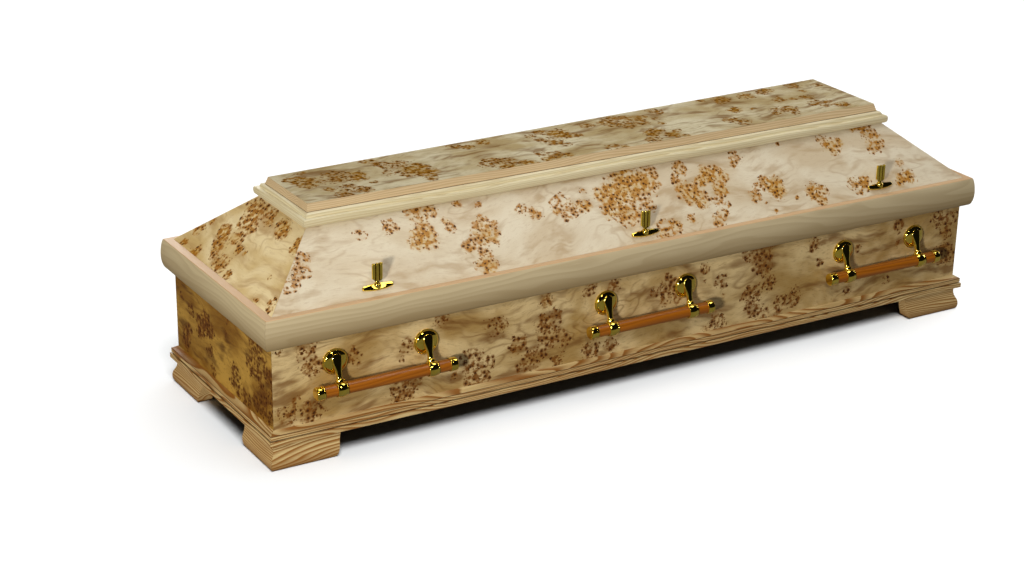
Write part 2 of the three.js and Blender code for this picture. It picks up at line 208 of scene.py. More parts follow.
def soft_box(name, towards, distance, size, watts, tint):
    """A flat rectangular light that stands in the direction `towards` and looks at the coffin."""
    light = bpy.data.lights.new(name, "AREA")
    light.shape = "RECTANGLE"
    light.size, light.size_y = size
    light.energy = watts
    light.color = tint
    lamp = in_scene(name, light)
    way = Vector(towards).normalized()
    lamp.location = MIDDLE + way * distance
    lamp.rotation_euler = way.to_track_quat("Z", "Y").to_euler()
    return lamp


def wide_sun(name, towards, spread, power):
    """A sun whose disc is `spread` degrees wide."""
    light = bpy.data.lights.new(name, "SUN")
    light.energy = power
    light.angle = math.radians(spread)
    lamp = in_scene(name, light)
    lamp.rotation_euler = Vector(towards).to_track_quat("Z", "Y").to_euler()
    return lamp


BOXES = [
    soft_box("box_low_left", (-0.76, -0.62, 0.195), 7.0, (0.62, 0.62), 310, (1.0, 0.95, 0.86)),
    soft_box("box_front_high", (-0.35, -0.75, 0.75), 4.0, (0.6, 0.6), 28, (1.0, 0.92, 0.80)),
    soft_box("box_overhead", (0.14, 0.1, 1.0), 3.2, (3.4, 1.6), 60, (1.0, 0.99, 0.97)),
    soft_box("board_far_left", (-1.0, -0.2, 0.05), 3.6, (2.0, 1.2), 9, (1.0, 0.82, 0.42)),
    soft_box("box_behind", (0.10, 1.0, 0.35), 4.0, (2.4, 1.2), 52, (1.0, 0.98, 0.95)),
    soft_box("box_at_head", (1.0, 0.15, 0.3), 3.6, (1.6, 1.2), 24, (1.0, 0.98, 0.95)),
]
GLOWS = [
    wide_sun("floor_glow_0", (-0.28, -0.66, 1.0), 26, 2.75),
    wide_sun("floor_glow_1", (0.30, 0.05, 1.0), 78, 1.95),
]
print("lamps:", len(BOXES + GLOWS))

# %% Which light falls on what
for name, state, lamps in (("only_floor", "INCLUDE", GLOWS), ("but_floor", "EXCLUDE", BOXES)):
    receivers = bpy.data.collections.new(name)
    receivers.objects.link(floor)
    receivers.collection_objects[0].light_linking.link_state = state
    for lamp in lamps:
        lamp.light_linking.receiver_collection = receivers

ROOM_GLOW = 0.006
room = bpy.data.worlds.new("dark_room")
room.use_nodes = True
backdrop = room.node_tree.nodes["Background"].inputs
backdrop["Color"].default_value = (0.9, 0.95, 1.0, 1)
backdrop["Strength"].default_value = ROOM_GLOW
bpy.context.scene.world = room
bpy.context.scene.view_settings.view_transform = "Standard"
print("room glow", ROOM_GLOW)

# %% [markdown]
# ## Burl veneer
# The panels are covered with a thin sheet of burl wood: cream, with soft brown streaks, and with
# islands of small dark buds in a golden brown haze. A picture of such a sheet would repeat, so it is
# built from noise. A stretched noise whose place is stirred by another one gives the streaks, and a
# few thin lines lie between them, like height lines on a map. A Voronoi pattern gives the buds: every
# cell gets one bud of its own size, or none outside the islands. Where the islands lie comes from a
# number on the mesh, `burl`, and how golden they are from `gold`.

# %% Burl group
burl_group, b, given, result = new_group(
    "burl_figure",
    [
        ("Sheet", "Vector", None),
        ("Burl", "Float", 0.0),
        ("Gold", "Float", 0.0),
        ("Figure", "Float", 0.5),
        ("Pale", "Color", (0.8, 0.7, 0.55, 1)),
        ("Warm", "Color", (0.65, 0.5, 0.33, 1)),
        ("Deep", "Color", (0.3, 0.17, 0.06, 1)),
        ("Haze", "Color", (0.42, 0.22, 0.08, 1)),
        ("Ochre", "Color", (0.6, 0.35, 0.08, 1)),
    ],
    [("Color", "Color"), ("Mask", "Float"), ("Height", "Float")],
)
BUD_DARK, SMALL_BUD_DARK = (0.06, 0.018, 0.003, 1), (0.11, 0.035, 0.006, 1)
sheet = given["Sheet"]
flow = b.stirred(b.stirred(sheet, 3.0, 0.08), 14, 0.012)
figure = given["Figure"]
tint = b.fade(b.cloud(b.scaled(flow, (1.0, 1.8, 1.0)), 5.0, 3.0, 0.6), 0.36, 0.64)
wood = b.mix(tint, given["Pale"], given["Warm"])
streak = b.cloud(b.scaled(flow, (1.0, 3.4, 1.0)), 9, 3.0, 0.5)
streak = b.math("MULTIPLY_ADD", given["Burl"], 0.03, streak)
streak = b.math("MULTIPLY", b.fade(streak, 0.50, 0.68), b.math("MULTIPLY", figure, 0.75))
wood = b.mix(streak, wood, given["Deep"])
rise = b.cloud(b.scaled(flow, (1.0, 2.2, 1.0)), 3.2, 3.0, 0.55)
lines = b.math("POWER", b.waves(rise, 90), 5.0)
lines = b.math("MULTIPLY", lines, b.fade(b.cloud(sheet, 8, 1.0), 0.45, 0.65))
wood = b.mix(b.math("MULTIPLY", b.math("MULTIPLY", lines, figure), 0.5), wood, given["Deep"])
hair = b.cloud(b.scaled(flow, (1.0, 4.0, 1.0)), 60, 3.0, 0.65)
hair = b.math("MULTIPLY", b.fade(hair, 0.5, 0.75), b.math("MULTIPLY", figure, 0.4))
wood = b.mix(hair, wood, given["Deep"])
fibre = b.cloud(b.scaled(flow, (1.0, 6.0, 1.0)), 320, 2.0, 0.6)
wood = b.mix(b.fade(fibre, 0.35, 0.75, 0, 0.12), wood, given["Deep"])
rag = b.cloud(b.stirred(sheet, 60, 0.004), 46, 3.0, 0.6)
mask = b.math("MULTIPLY_ADD", rag, 1.5, b.math("ADD", given["Burl"], -0.75))
patch = b.fade(mask, 0.25, 0.9)
spots = b.cloud(b.stirred(sheet, 80, 0.005), 78, 1.5, 0.5)
golden = b.math("MULTIPLY", b.math("MULTIPLY", patch, given["Gold"]), b.fade(spots, 0.34, 0.5, 0.3, 1.0))
wood = b.mix(golden, wood, given["Ochre"])
spread = b.math("MULTIPLY_ADD", given["Gold"], 0.05, spots)
blot = b.math("MULTIPLY", b.fade(spread, 0.47, 0.66), b.fade(mask, 0.4, 0.85))
wood = b.mix(b.math("MULTIPLY", blot, 0.9), wood, given["Haze"])


def buds(cells, least, most, chance, stir):
    """Round dark buds with a soft brown ring, one to a cell."""
    place = b.stirred(sheet, 230, stir)
    values = {"Vector": place, "Scale": cells, "Randomness": 0.95}
    away = b.put("TexVoronoi", values, "Distance", voronoi_dimensions="2D")
    dice = b.put("TexVoronoi", values, "Color", voronoi_dimensions="2D")
    first = b.put("SeparateXYZ", {0: dice}, 0)
    second = b.put("SeparateXYZ", {0: dice}, 1)
    there = b.math("LESS_THAN", second, chance)
    size = b.math("MULTIPLY_ADD", first, most - least, least)
    share = b.math("DIVIDE", away, size)
    core = b.math("MULTIPLY", there, b.fade(share, 1.0, 0.5))
    ring = b.math("MULTIPLY", there, b.fade(share, 2.3, 0.8))
    return core, ring


crowd = b.fade(b.math("MULTIPLY_ADD", rag, 0.7, given["Burl"]), 0.5, 1.15, 0.0, 0.8)
crowd = b.math("MULTIPLY", crowd, b.fade(spots, 0.36, 0.52, 0.45, 1.0))
core, ring = buds(76, 0.15, 0.36, crowd, 0.0024)
small_core, small_ring = buds(150, 0.14, 0.32, b.math("MULTIPLY", crowd, 0.55), 0.0012)
wood = b.mix(b.math("MULTIPLY", small_ring, 0.6), wood, given["Haze"])
wood = b.mix(b.math("MULTIPLY", ring, 0.85), wood, given["Haze"])
wood = b.mix(b.math("MULTIPLY", small_core, 0.8), wood, SMALL_BUD_DARK)
wood = b.mix(b.math("MULTIPLY", core, 0.95), wood, BUD_DARK)
b.tree.links.new(wood, result["Color"])
b.tree.links.new(b.math("MAXIMUM", core, small_core), result["Mask"])
b.tree.links.new(b.math("MULTIPLY_ADD", core, -1.0, b.math("MULTIPLY", fibre, 0.2)), result["Height"])
print("burl group:", len(burl_group.nodes), "nodes")


# %% Veneer finishes
TONES = ("Pale", "Warm", "Deep", "Haze", "Ochre")


def veneer(name, figure, *tones, coat=0.06, sheen=0.2):
    """A lacquered sheet of burl in the tones given."""
    finish, bench, shader = new_finish(
        name, Coat_Weight=coat, Coat_Roughness=0.15, Specular_IOR_Level=sheen,
    )
    values = {label: (*tone, 1) for label, tone in zip(TONES, tones)}
    values["Figure"] = figure
    values["Sheet"] = bench.put("Attribute", {}, "Vector", attribute_name="sheet")
    values["Burl"] = bench.put("Attribute", {}, "Fac", attribute_name="burl")
    values["Gold"] = bench.put("Attribute", {}, "Fac", attribute_name="gold")
    look = use_group(bench, burl_group, values)
    link = bench.tree.links.new
    link(look["Color"], shader["Base Color"])
    link(bench.fade(look["Mask"], 0, 1, 0.4, 0.6), shader["Roughness"])
    bump = bench.put("Bump", {"Strength": 0.25, "Distance": 0.0004, "Height": look["Height"]})
    link(bump, shader["Normal"])
    return finish


VENEER = {
    "wall": veneer("burl_on_sides", 1.0, (0.76, 0.59, 0.31), (0.44, 0.285, 0.10),
                   (0.18, 0.075, 0.014), (0.20, 0.07, 0.008), (0.42, 0.21, 0.04)),
    # The ends' veneer is darker and browner than the sides': partly its own tone, partly painted shade.
    "end": veneer("burl_on_ends_with_painted_shade", 1.0, (0.56, 0.33, 0.065), (0.25, 0.115, 0.013),
                  (0.09, 0.03, 0.003), (0.12, 0.038, 0.003), (0.24, 0.09, 0.008),
                  coat=0.0, sheen=0.08),
    "slope": veneer("burl_on_slopes", 0.6, (0.77, 0.70, 0.55), (0.65, 0.545, 0.385),
                    (0.38, 0.23, 0.09), (0.42, 0.175, 0.014), (0.58, 0.36, 0.08)),
    "end_slope": veneer("burl_on_end_slopes", 0.6, (0.86, 0.73, 0.45), (0.62, 0.45, 0.19),
                        (0.34, 0.17, 0.045), (0.34, 0.13, 0.008), (0.54, 0.30, 0.045)),
    "top": veneer("burl_on_top", 1.0, (0.65, 0.59, 0.41), (0.43, 0.335, 0.17),
                  (0.20, 0.105, 0.034), (0.25, 0.105, 0.012), (0.37, 0.22, 0.046),
                  coat=0.0, sheen=0.0),
}
print("veneers:", ", ".join(VENEER))

# %% [markdown]
# ## Sawn wood
# The mouldings, the feet and the rim are solid wood, sawn along the trunk. Real yearly rings are
# tubes around the middle of the trunk, and every cut through them shows its own picture: long lines
# on a side, arches on a broad face, arcs on an end. So the rings are made as tubes in space too, in
# each rail's own directions, which are kept on its mesh as `grain`: along, outwards, up.

# %% Sawn wood group
sawn_group, b, given, result = new_group(
    "sawn_wood",
    [
        ("Grain", "Vector", None),
        ("Rings", "Float", 220.0),
        ("Wander", "Float", 0.006),
        ("Heart out", "Float", -0.05),
        ("Heart up", "Float", -0.03),
    ],
    [("Ring", "Float"), ("Fibre", "Float"), ("Cloud", "Float")],
)
grain = given["Grain"]
along = b.put("SeparateXYZ", {0: grain}, 0)
outward = b.put("SeparateXYZ", {0: grain}, 1)
upward = b.put("SeparateXYZ", {0: grain}, 2)
slow = b.cloud(b.scaled(grain, (1.6, 9.0, 9.0)), 1.0, 2.0, 0.5, output=1)
slow = b.vector("SUBTRACT", slow, (0.5, 0.5, 0.5))
sway_out = b.math("MULTIPLY", b.put("SeparateXYZ", {0: slow}, 0), given["Wander"])
sway_up = b.math("MULTIPLY", b.put("SeparateXYZ", {0: slow}, 1), given["Wander"])
from_out = b.math("SUBTRACT", b.math("MULTIPLY_ADD", sway_out, 6.0, outward), given["Heart out"])
from_up = b.math("SUBTRACT", b.math("MULTIPLY_ADD", sway_up, 6.0, upward), given["Heart up"])
squares = b.math("ADD", b.math("MULTIPLY", from_out, from_out), b.math("MULTIPLY", from_up, from_up))
reach = b.math("MULTIPLY", b.math("SQRT", squares), given["Rings"])
uneven = b.cloud(b.scaled(grain, (0.5, 40.0, 40.0)), 1.0, 1.0)
phase = b.math("FRACT", b.math("MULTIPLY_ADD", uneven, 1.4, reach))
ring = b.math("MULTIPLY", b.fade(phase, 0.15, 0.86), b.fade(phase, 1.0, 0.9))
b.tree.links.new(ring, result["Ring"])
fibre = b.cloud(b.scaled(grain, (14.0, 900.0, 900.0)), 1.0, 3.0, 0.6)
b.tree.links.new(fibre, result["Fibre"])
b.tree.links.new(b.cloud(b.scaled(grain, (2.5, 14.0, 14.0)), 1.0, 2.0), result["Cloud"])
print("sawn wood group:", len(sawn_group.nodes), "nodes")


# %% Finishes of sawn wood
# Dark colour for painted shade in the base moulding's groove, and for dark lines at joints and edges.
GROOVE_SHADE_AND_DARK_LINES = (0.07, 0.025, 0.005, 1)
GROOVE_EDGE = 0.0005


def sawn(name, pale, deep, strength, rings, wander, heart=(-0.05, -0.03), gloss=0.42,
         shade=None, crest=None, hollows=(), **constants):
    """Lacquered sawn wood: how dark the late wood is, and how many rings there are to the metre.
    A shade is two heights between which the wood is darkened as painted shade, most at the lower
    height, and how much. A crest is two heights and the colour that the wood takes above them.
    Hollows are pairs of heights between which the wood goes dark: painted shade in the groove, dark
    lines at joints and edges."""
    finish, bench, shader = new_finish(name, Specular_IOR_Level=0.4, **constants)
    values = {"Rings": rings, "Wander": wander, "Heart out": heart[0], "Heart up": heart[1]}
    values["Grain"] = bench.put("Attribute", {}, "Vector", attribute_name="grain")
    look = use_group(bench, sawn_group, values)
    wood = bench.mix(bench.math("MULTIPLY", look["Ring"], strength), (*pale, 1), (*deep, 1))
    wood = bench.mix(bench.fade(look["Cloud"], 0.3, 0.7, 0, 0.35 * strength), wood, (*deep, 1))
    streak = bench.fade(look["Fibre"], 0.35, 0.75, 0, 0.45 * strength)
    wood = bench.mix(streak, wood, (*deep, 1))
    height = bench.put("SeparateXYZ", {0: bench.put("TexCoord", {}, "Object")}, 2)
    # Painted shade in the groove, and dark lines at joints and edges: the wood goes dark between each pair of
    # heights.
    for low, high in hollows:
        above = bench.fade(height, low - GROOVE_EDGE, low)
        below = bench.fade(height, high + GROOVE_EDGE, high)
        inside = bench.math("MULTIPLY", bench.math("MULTIPLY", above, below), 0.85)
        wood = bench.mix(inside, wood, GROOVE_SHADE_AND_DARK_LINES)
    # Painted shade: the wood is darkened towards the lower of the two heights.
    if shade:
        wood = bench.mix(bench.fade(height, shade[0], shade[1], shade[2], 0.0), wood, (*deep, 1))
    if crest:
        wood = bench.mix(bench.fade(height, crest[0], crest[1]), wood, (*crest[2], 1))
    bench.tree.links.new(wood, shader["Base Color"])
    bench.tree.links.new(bench.fade(look["Fibre"], 0.2, 0.8, gloss - 0.05, gloss + 0.08), shader["Roughness"])
    bump = bench.put("Bump", {"Strength": 0.2, "Distance": 0.0003, "Height": look["Fibre"]})
    bench.tree.links.new(bump, shader["Normal"])
    return finish


# On the feet the pine is darkened towards the floor as painted shade. Its groove holds painted shade; the
# line under the sloping top and the joint with the feet are dark lines.
PINE = sawn("grained_pine", (0.86, 0.69, 0.35), (0.31, 0.115, 0.014), 0.95, 190, 0.018, heart=(-0.05, -0.19),
            shade=(-0.005, 0.034, 0.7), hollows=((0.0877, 0.0889), (0.0758, 0.0778), (0.0624, 0.0634)))
# The rim is darkened towards its bottom as painted shade.
RIM_WOOD = sawn("pale_rim_wood", (0.68, 0.58, 0.38), (0.28, 0.18, 0.065), 0.20, 60, 0.03,
                shade=(0.298, 0.366, 0.72), crest=(0.3728, 0.3746, (0.68, 0.45, 0.25)))
CROWN_WOOD = sawn("pale_moulding_wood", (0.80, 0.74, 0.53), (0.52, 0.40, 0.18), 0.45, 200, 0.01)
EDGE_WOOD = sawn("panel_edge_wood", (0.74, 0.59, 0.37), (0.44, 0.27, 0.12), 0.5, 220, 0.01,
                 hollows=((0.538, 0.5392),))
BOARD = sawn("plain_board", (0.58, 0.44, 0.27), (0.42, 0.28, 0.14), 0.4, 90, 0.01, gloss=0.6)
BAR_WOOD = sawn("stained_bar_wood", (0.43, 0.135, 0.006), (0.15, 0.035, 0.002), 0.4, 150, 0.012,
                heart=(-0.03, 0.02), gloss=0.35, Coat_Weight=0.08, Coat_Roughness=0.1)
print("sawn woods: 6")

# %% [markdown]
# ## Polished brass
# The fittings are brass, polished to a mirror and lacquered. What makes a mirror look like metal is
# mostly what it mirrors, so the material itself stays simple: full metal, hardly rough, with a faint
# unevenness left by the polishing cloth, under a clear coat that gives the whitest streaks. The faces
# between the reeds of the lid screws get a second, dull and nearly black brass, as painted shade.

# %% Brass
BRASS, bench, shader = new_finish("polished_brass", Metallic=1.0, Coat_Weight=1.0, Coat_IOR=1.45)
spot = bench.put("TexCoord", {}, "Object")
smear = bench.cloud(bench.stirred(spot, 40, 0.01), 70, 3.0, 0.6)
bench.tree.links.new(bench.fade(smear, 0.3, 0.75, 0.02, 0.06), shader["Roughness"])
brass_tone = bench.mix(bench.fade(smear, 0.35, 0.7), (0.90, 0.66, 0.07, 1), (0.78, 0.54, 0.05, 1))
bench.tree.links.new(brass_tone, shader["Base Color"])
ripple = bench.put("Bump", {"Strength": 0.06, "Distance": 0.0004, "Height": bench.cloud(spot, 130, 1.0)})
bench.tree.links.new(ripple, shader["Normal"])
# Painted shade: a dull, nearly black brass for the faces between the reeds, with a mottle in tone and
# roughness.
PAINTED_SHADE_BRASS, bench, shader = new_finish("brass_painted_shade_between_reeds", Metallic=1.0)
spot = bench.put("TexCoord", {}, "Object")
shade_mottle = bench.cloud(spot, 220, 3.0, 0.6)
bench.tree.links.new(bench.fade(shade_mottle, 0.3, 0.7, 0.35, 0.6), shader["Roughness"])
painted_shade_tone = bench.mix(bench.fade(shade_mottle, 0.35, 0.65), (0.10, 0.07, 0.015, 1), (0.04, 0.025, 0.006, 1))
bench.tree.links.new(painted_shade_tone, shader["Base Color"])
print("brass:", BRASS.name, PAINTED_SHADE_BRASS.name)

# %% [markdown]
# ## Sides of a tapered box
# Seen from above, the coffin is a little wider at the head end. Every frame on it follows that taper,
# so the four sides need a small table: where a side starts, which way it runs and which way is out.
# The corners are mitred, so a side is a long bar that two upright planes cut to length.

# %% Sides and corners
TAPER = 0.014
SIDES = {"front": (0, -1), "back": (0, 1), "foot": (-1, 0), "head": (1, 0)}
CASE_PLAN = (1.0, 0.287)
UP = Vector((0, 0, 1))
MITRE_GAP = 0.00012


def side_frame(side, plan):
    """Start, running direction and outward direction of one side of a tapered plan."""
    length, width = plan
    sign_x, sign_y = SIDES[side]
    if sign_x:
        return Vector((sign_x * length, 0, 0)), Vector((0, 1, 0)), Vector((sign_x, 0, 0))
    along = Vector((1, sign_y * TAPER, 0)).normalized()
    out = Vector((-TAPER, sign_y, 0)).normalized()
    return Vector((0, sign_y * width, 0)), along, out


def corner(plan, sign_x, sign_y):
    """A corner of a tapered plan."""
    x = sign_x * plan[0]
    return Vector((x, sign_y * (plan[1] + TAPER * x), 0))


def mitre_planes(side, outer, inner):
    """The two upright planes through the corners of an outer and an inner plan."""
    sign_x, sign_y = SIDES[side]
    ends = [(sign_x, -1), (sign_x, 1)] if sign_x else [(-1, sign_y), (1, sign_y)]
    start, along, out = side_frame(side, outer)
    planes = []
    for end in ends:
        place = corner(outer, *end)
        across = (place - corner(inner, *end)).normalized()
        away = across.cross(UP).normalized()
        if away.dot(place - start) < 0:
            away = -away
        planes.append((place - away * MITRE_GAP, away))
    return planes


def cut_off(shape, place, away):
    """Takes off all that lies beyond a plane and closes the cut."""
    bmesh.ops.bisect_plane(
        shape, geom=shape.verts[:] + shape.edges[:] + shape.faces[:],
        dist=1e-6, plane_co=place, plane_no=away, clear_outer=True,
    )
    bmesh.ops.holes_fill(shape, edges=[e for e in shape.edges if e.is_boundary], sides=0)


# %% [markdown]
# ## Rails of a frame
# A moulding is planed to one profile and cut into four rails. The same is done here: the profile is
# one face, extruded along the side and cut at both mitres. Curves in the profile come from Bezier
# segments, as a joiner would draw them. Each vertex then keeps its place in the rail's own
# directions, because the grain of a moulding runs round the corner with the rail.

# %% Rail helpers
chooser = random.Random(7)
CURVE_POINTS = 11
INNER = 0.1


def curve_points(profile):
    """Profile points in millimetres; a group of three points curves on from the point before."""
    points = []
    for item in profile:
        if len(item) == 2:
            points.append(item)
        else:
            knots = [Vector((*p, 0)) for p in (points[-1], *item)]
            points += [tuple(p)[:2] for p in interpolate_bezier(*knots, CURVE_POINTS)[1:]]
    return [(out / 1000, up / 1000) for out, up in points]


def extruded(shape, faces):
    """Extrudes faces and returns the new vertices."""
    moved = bmesh.ops.extrude_face_region(shape, geom=faces)["geom"]
    return [v for v in moved if isinstance(v, bmesh.types.BMVert)]


def inside(plan):
    """A smaller plan, which says which way a mitre runs in from the corner of a plan."""
    return plan[0] - INNER, plan[1] - INNER


def rail(profile, side, plan, length=1.3):
    """One mitred rail as a bmesh, with the grain coordinates of each vertex."""
    shape = bmesh.new()
    start, along, out = side_frame(side, plan)
    base = start - along * length
    ring = [shape.verts.new(base + out * reach + UP * height) for reach, height in profile]
    face = shape.faces.new(ring)
    bmesh.ops.translate(shape, verts=extruded(shape, [face]), vec=along * 2 * length)
    for place, away in mitre_planes(side, plan, inside(plan)):
        cut_off(shape, place, away)
    keep_grain(shape, start, along, out)
    return shape


def keep_grain(shape, start, along, out):
    """Writes along, outward and up on each vertex, shifted so that no two rails are alike."""
    layer = shape.verts.layers.float_vector.new("grain")
    shift = Vector((chooser.uniform(-9, 9), chooser.uniform(-0.01, 0.01), chooser.uniform(-0.01, 0.01)))
    for vert in shape.verts:
        away = vert.co - start
        vert[layer] = Vector((away.dot(along), away.dot(out), vert.co.z)) + shift


def as_piece(shapes, name, finishes, node, angle=35):
    """Joins bmeshes into one object that replaces the solid `node`."""
    whole = bmesh.new()
    for shape in shapes:
        bmesh.ops.recalc_face_normals(shape, faces=shape.faces)
        part = bpy.data.meshes.new("part")
        shape.to_mesh(part)
        shape.free()
        whole.from_mesh(part)
        bpy.data.meshes.remove(part)
    mesh = bpy.data.meshes.new(name)
    whole.to_mesh(mesh)
    whole.free()
    for finish in finishes:
        mesh.materials.append(finish)
    mesh.shade_smooth()
    mesh.set_sharp_from_angle(angle=math.radians(angle))
    piece = in_scene(name, mesh)
    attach(piece, "root")
    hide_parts(node)
    return piece


# %% [markdown]
# ## Rim, base moulding and upper moulding
# Three mouldings go round the coffin. The rim is a heavy swelling rail under the lid, the base
# moulding is flat with a groove and a sloping top, and the upper moulding is a small bead with a
# step. Their profiles are given as distance out from the wall line and height.

# %% Mouldings
RIM_PROFILE = curve_points([
    (-28, 300), (16, 300), ((21, 302), (25, 317), (25, 333)), ((25, 351), (22, 373), (18, 375)),
    (-28, 375),
])
BASE_PROFILE = curve_points([
    (0.3, 63), (15.5, 63), ((16.5, 63), (17, 63.6), (17, 64.5)), (17, 74),
    ((17, 75), (16.4, 75.5), (15.5, 75.5)), (11, 75.6), (11, 78), (14, 78.6), (14, 88),
    ((14, 89), (13.3, 89.5), (12.5, 89.5)), (0.3, 97),
])
CROWN_PROFILE = curve_points([
    (-45, 510), (-2, 510), (1, 513), ((2, 518), (4, 526), (-1, 529)), (-10, 529),
    ((-10, 533), (-10.5, 537), (-13.5, 538)), (-45, 538),
])
CROWN_PLAN = (0.846, 0.146)
for name, profile, plan, finish, slot in (
    ("lid_rim", RIM_PROFILE, CASE_PLAN, RIM_WOOD, "pale_hardwood"),
    ("base_moulding", BASE_PROFILE, CASE_PLAN, PINE, "grained_softwood"),
    ("lid_upper_moulding", CROWN_PROFILE, CROWN_PLAN, CROWN_WOOD, "pale_hardwood"),
):
    rails = [rail(profile, side, plan) for side in SIDES]
    piece = as_piece(rails, f"{name}_rails", [finish], name)
    print(piece.name, len(piece.data.polygons), "faces")

# %% [markdown]
# ## Bracket feet
# A foot is two short arms, mitred at the corner. Each arm has a swelling face, and its free end is
# sawn at a slant with a rounded toe. Planes do the sawing here: one for the slant and a fan of them
# for the toe, each of which closes its cut.

# %% Feet
FOOT_PROFILE = curve_points([
    (-24, 0), (7.5, 0), ((12.5, 1), (14.5, 7), (14.5, 15)), ((14.5, 31), (5, 33), (4, 50.7)),
    (4, 62.7), (-24, 62.7),
])
FOOT_TOP = 0.0627
SLANT, TOE = 0.015, 0.018
LONG_ARM, SHORT_ARM = 0.172, 0.160


def arm(side, end, length):
    """One arm of a foot, from the corner at `end` to its slanted and rounded end."""
    start, along, out = side_frame(side, CASE_PLAN)
    shape = rail(FOOT_PROFILE, side, CASE_PLAN)
    place = corner(CASE_PLAN, *end)
    inwards = along if along.dot(start - place) > 0 else -along
    toe_end = place + inwards * (length - SLANT)
    slope = (inwards * (FOOT_TOP - TOE) - UP * SLANT).normalized()
    cut_off(shape, toe_end + UP * TOE, slope)
    knots = [Vector(p) for p in ((-TOE, 0, 0), (-TOE / 2, 0, 0), (-0.002, 0.004, 0), (0, TOE, 0))]
    outline = interpolate_bezier(*knots, 8)
    for one, two in zip(outline, outline[1:]):
        run = two - one
        cut_off(shape, toe_end + inwards * one.x + UP * one.y, (inwards * run.y - UP * run.x).normalized())
    return shape


CORNERS = {
    "front_foot_end": (-1, -1), "front_head_end": (1, -1),
    "back_head_end": (1, 1), "back_foot_end": (-1, 1),
}
for name, end in CORNERS.items():
    long_side = "front" if end[1] < 0 else "back"
    short_side = "foot" if end[0] < 0 else "head"
    arms = [arm(long_side, end, LONG_ARM), arm(short_side, end, SHORT_ARM)]
    as_piece(arms, f"{name}_bracket_foot", [PINE], f"bracket_foot_{name}")
print("feet:", len(CORNERS))

# %% [markdown]
# ## Where the burl lies
# Veneer sheets are chosen and laid by hand. Here the islands of burl are listed one by one. Noise alone could
# scatter them, but then they would lie elsewhere than on the real coffin. Each entry is a place in
# millimetres, along the board and its height, a radius and how golden the island is. The sheets that
# face the camera have their own lists. The hidden ones get scattered islands of the same kind.

# %% Burl islands
FRONT_WALL = [
    (-985, 286, 10, 0), (-917, 278, 28, 0.2), (-902, 236, 26, 0.4), (-805, 240, 24, 0.3),
    (-790, 221, 12, 0), (-945, 158, 15, 0), (-966, 124, 26, 0.1), (-905, 125, 32, 0.2),
    (-660, 236, 20, 0), (-674, 202, 8, 0.3), (-568, 285, 20, 0), (-672, 124, 36, 0.4),
    (-640, 140, 22, 0.2), (-535, 131, 12, 0.6), (-490, 165, 30, 0.1), (-475, 128, 38, 0.1),
    (-440, 150, 18, 0), (-450, 243, 12, 0), (-415, 234, 24, 0.1), (-284, 272, 20, 0.7),
    (-287, 215, 26, 0.5), (-258, 230, 20, 0.2), (-270, 180, 34, 0.3), (-240, 165, 26, 0.3),
    (-362, 172, 26, 0.4), (-318, 130, 32, 0.3), (-350, 118, 20, 0.1), (-252, 112, 20, 0.3),
    (-160, 282, 20, 0.1), (-95, 277, 18, 0.3), (-155, 115, 26, 0.2), (-96, 120, 22, 0.3),
    (26, 236, 16, 0.1), (62, 265, 18, 0.1), (78, 235, 30, 0.2), (58, 208, 20, 0.3), (98, 205, 16, 0.2),
    (176, 268, 15, 0.5), (180, 234, 6, 0.3), (228, 224, 22, 0.1), (236, 184, 9, 0.3),
    (318, 282, 26, 0.2), (350, 270, 36, 0.4), (362, 236, 24, 0.3), (312, 172, 24, 0.3),
    (375, 196, 24, 0.2), (345, 182, 18, 0.1), (330, 137, 26, 0.2), (362, 110, 26, 0.1),
    (218, 118, 28, 0.2), (190, 106, 16, 0.3), (420, 128, 26, 0.1), (462, 138, 26, 0.2),
    (405, 115, 14, 0), (516, 272, 20, 0.4), (533, 216, 12, 0), (795, 277, 20, 0.4), (793, 226, 10, 0.3),
    (640, 118, 15, 0.1), (762, 128, 14, 0.1), (660, 236, 12, 0.5), (935, 275, 34, 0.1),
    (970, 262, 26, 0.1), (960, 225, 20, 0.5), (958, 168, 32, 0.6), (985, 150, 22, 0.4),
]
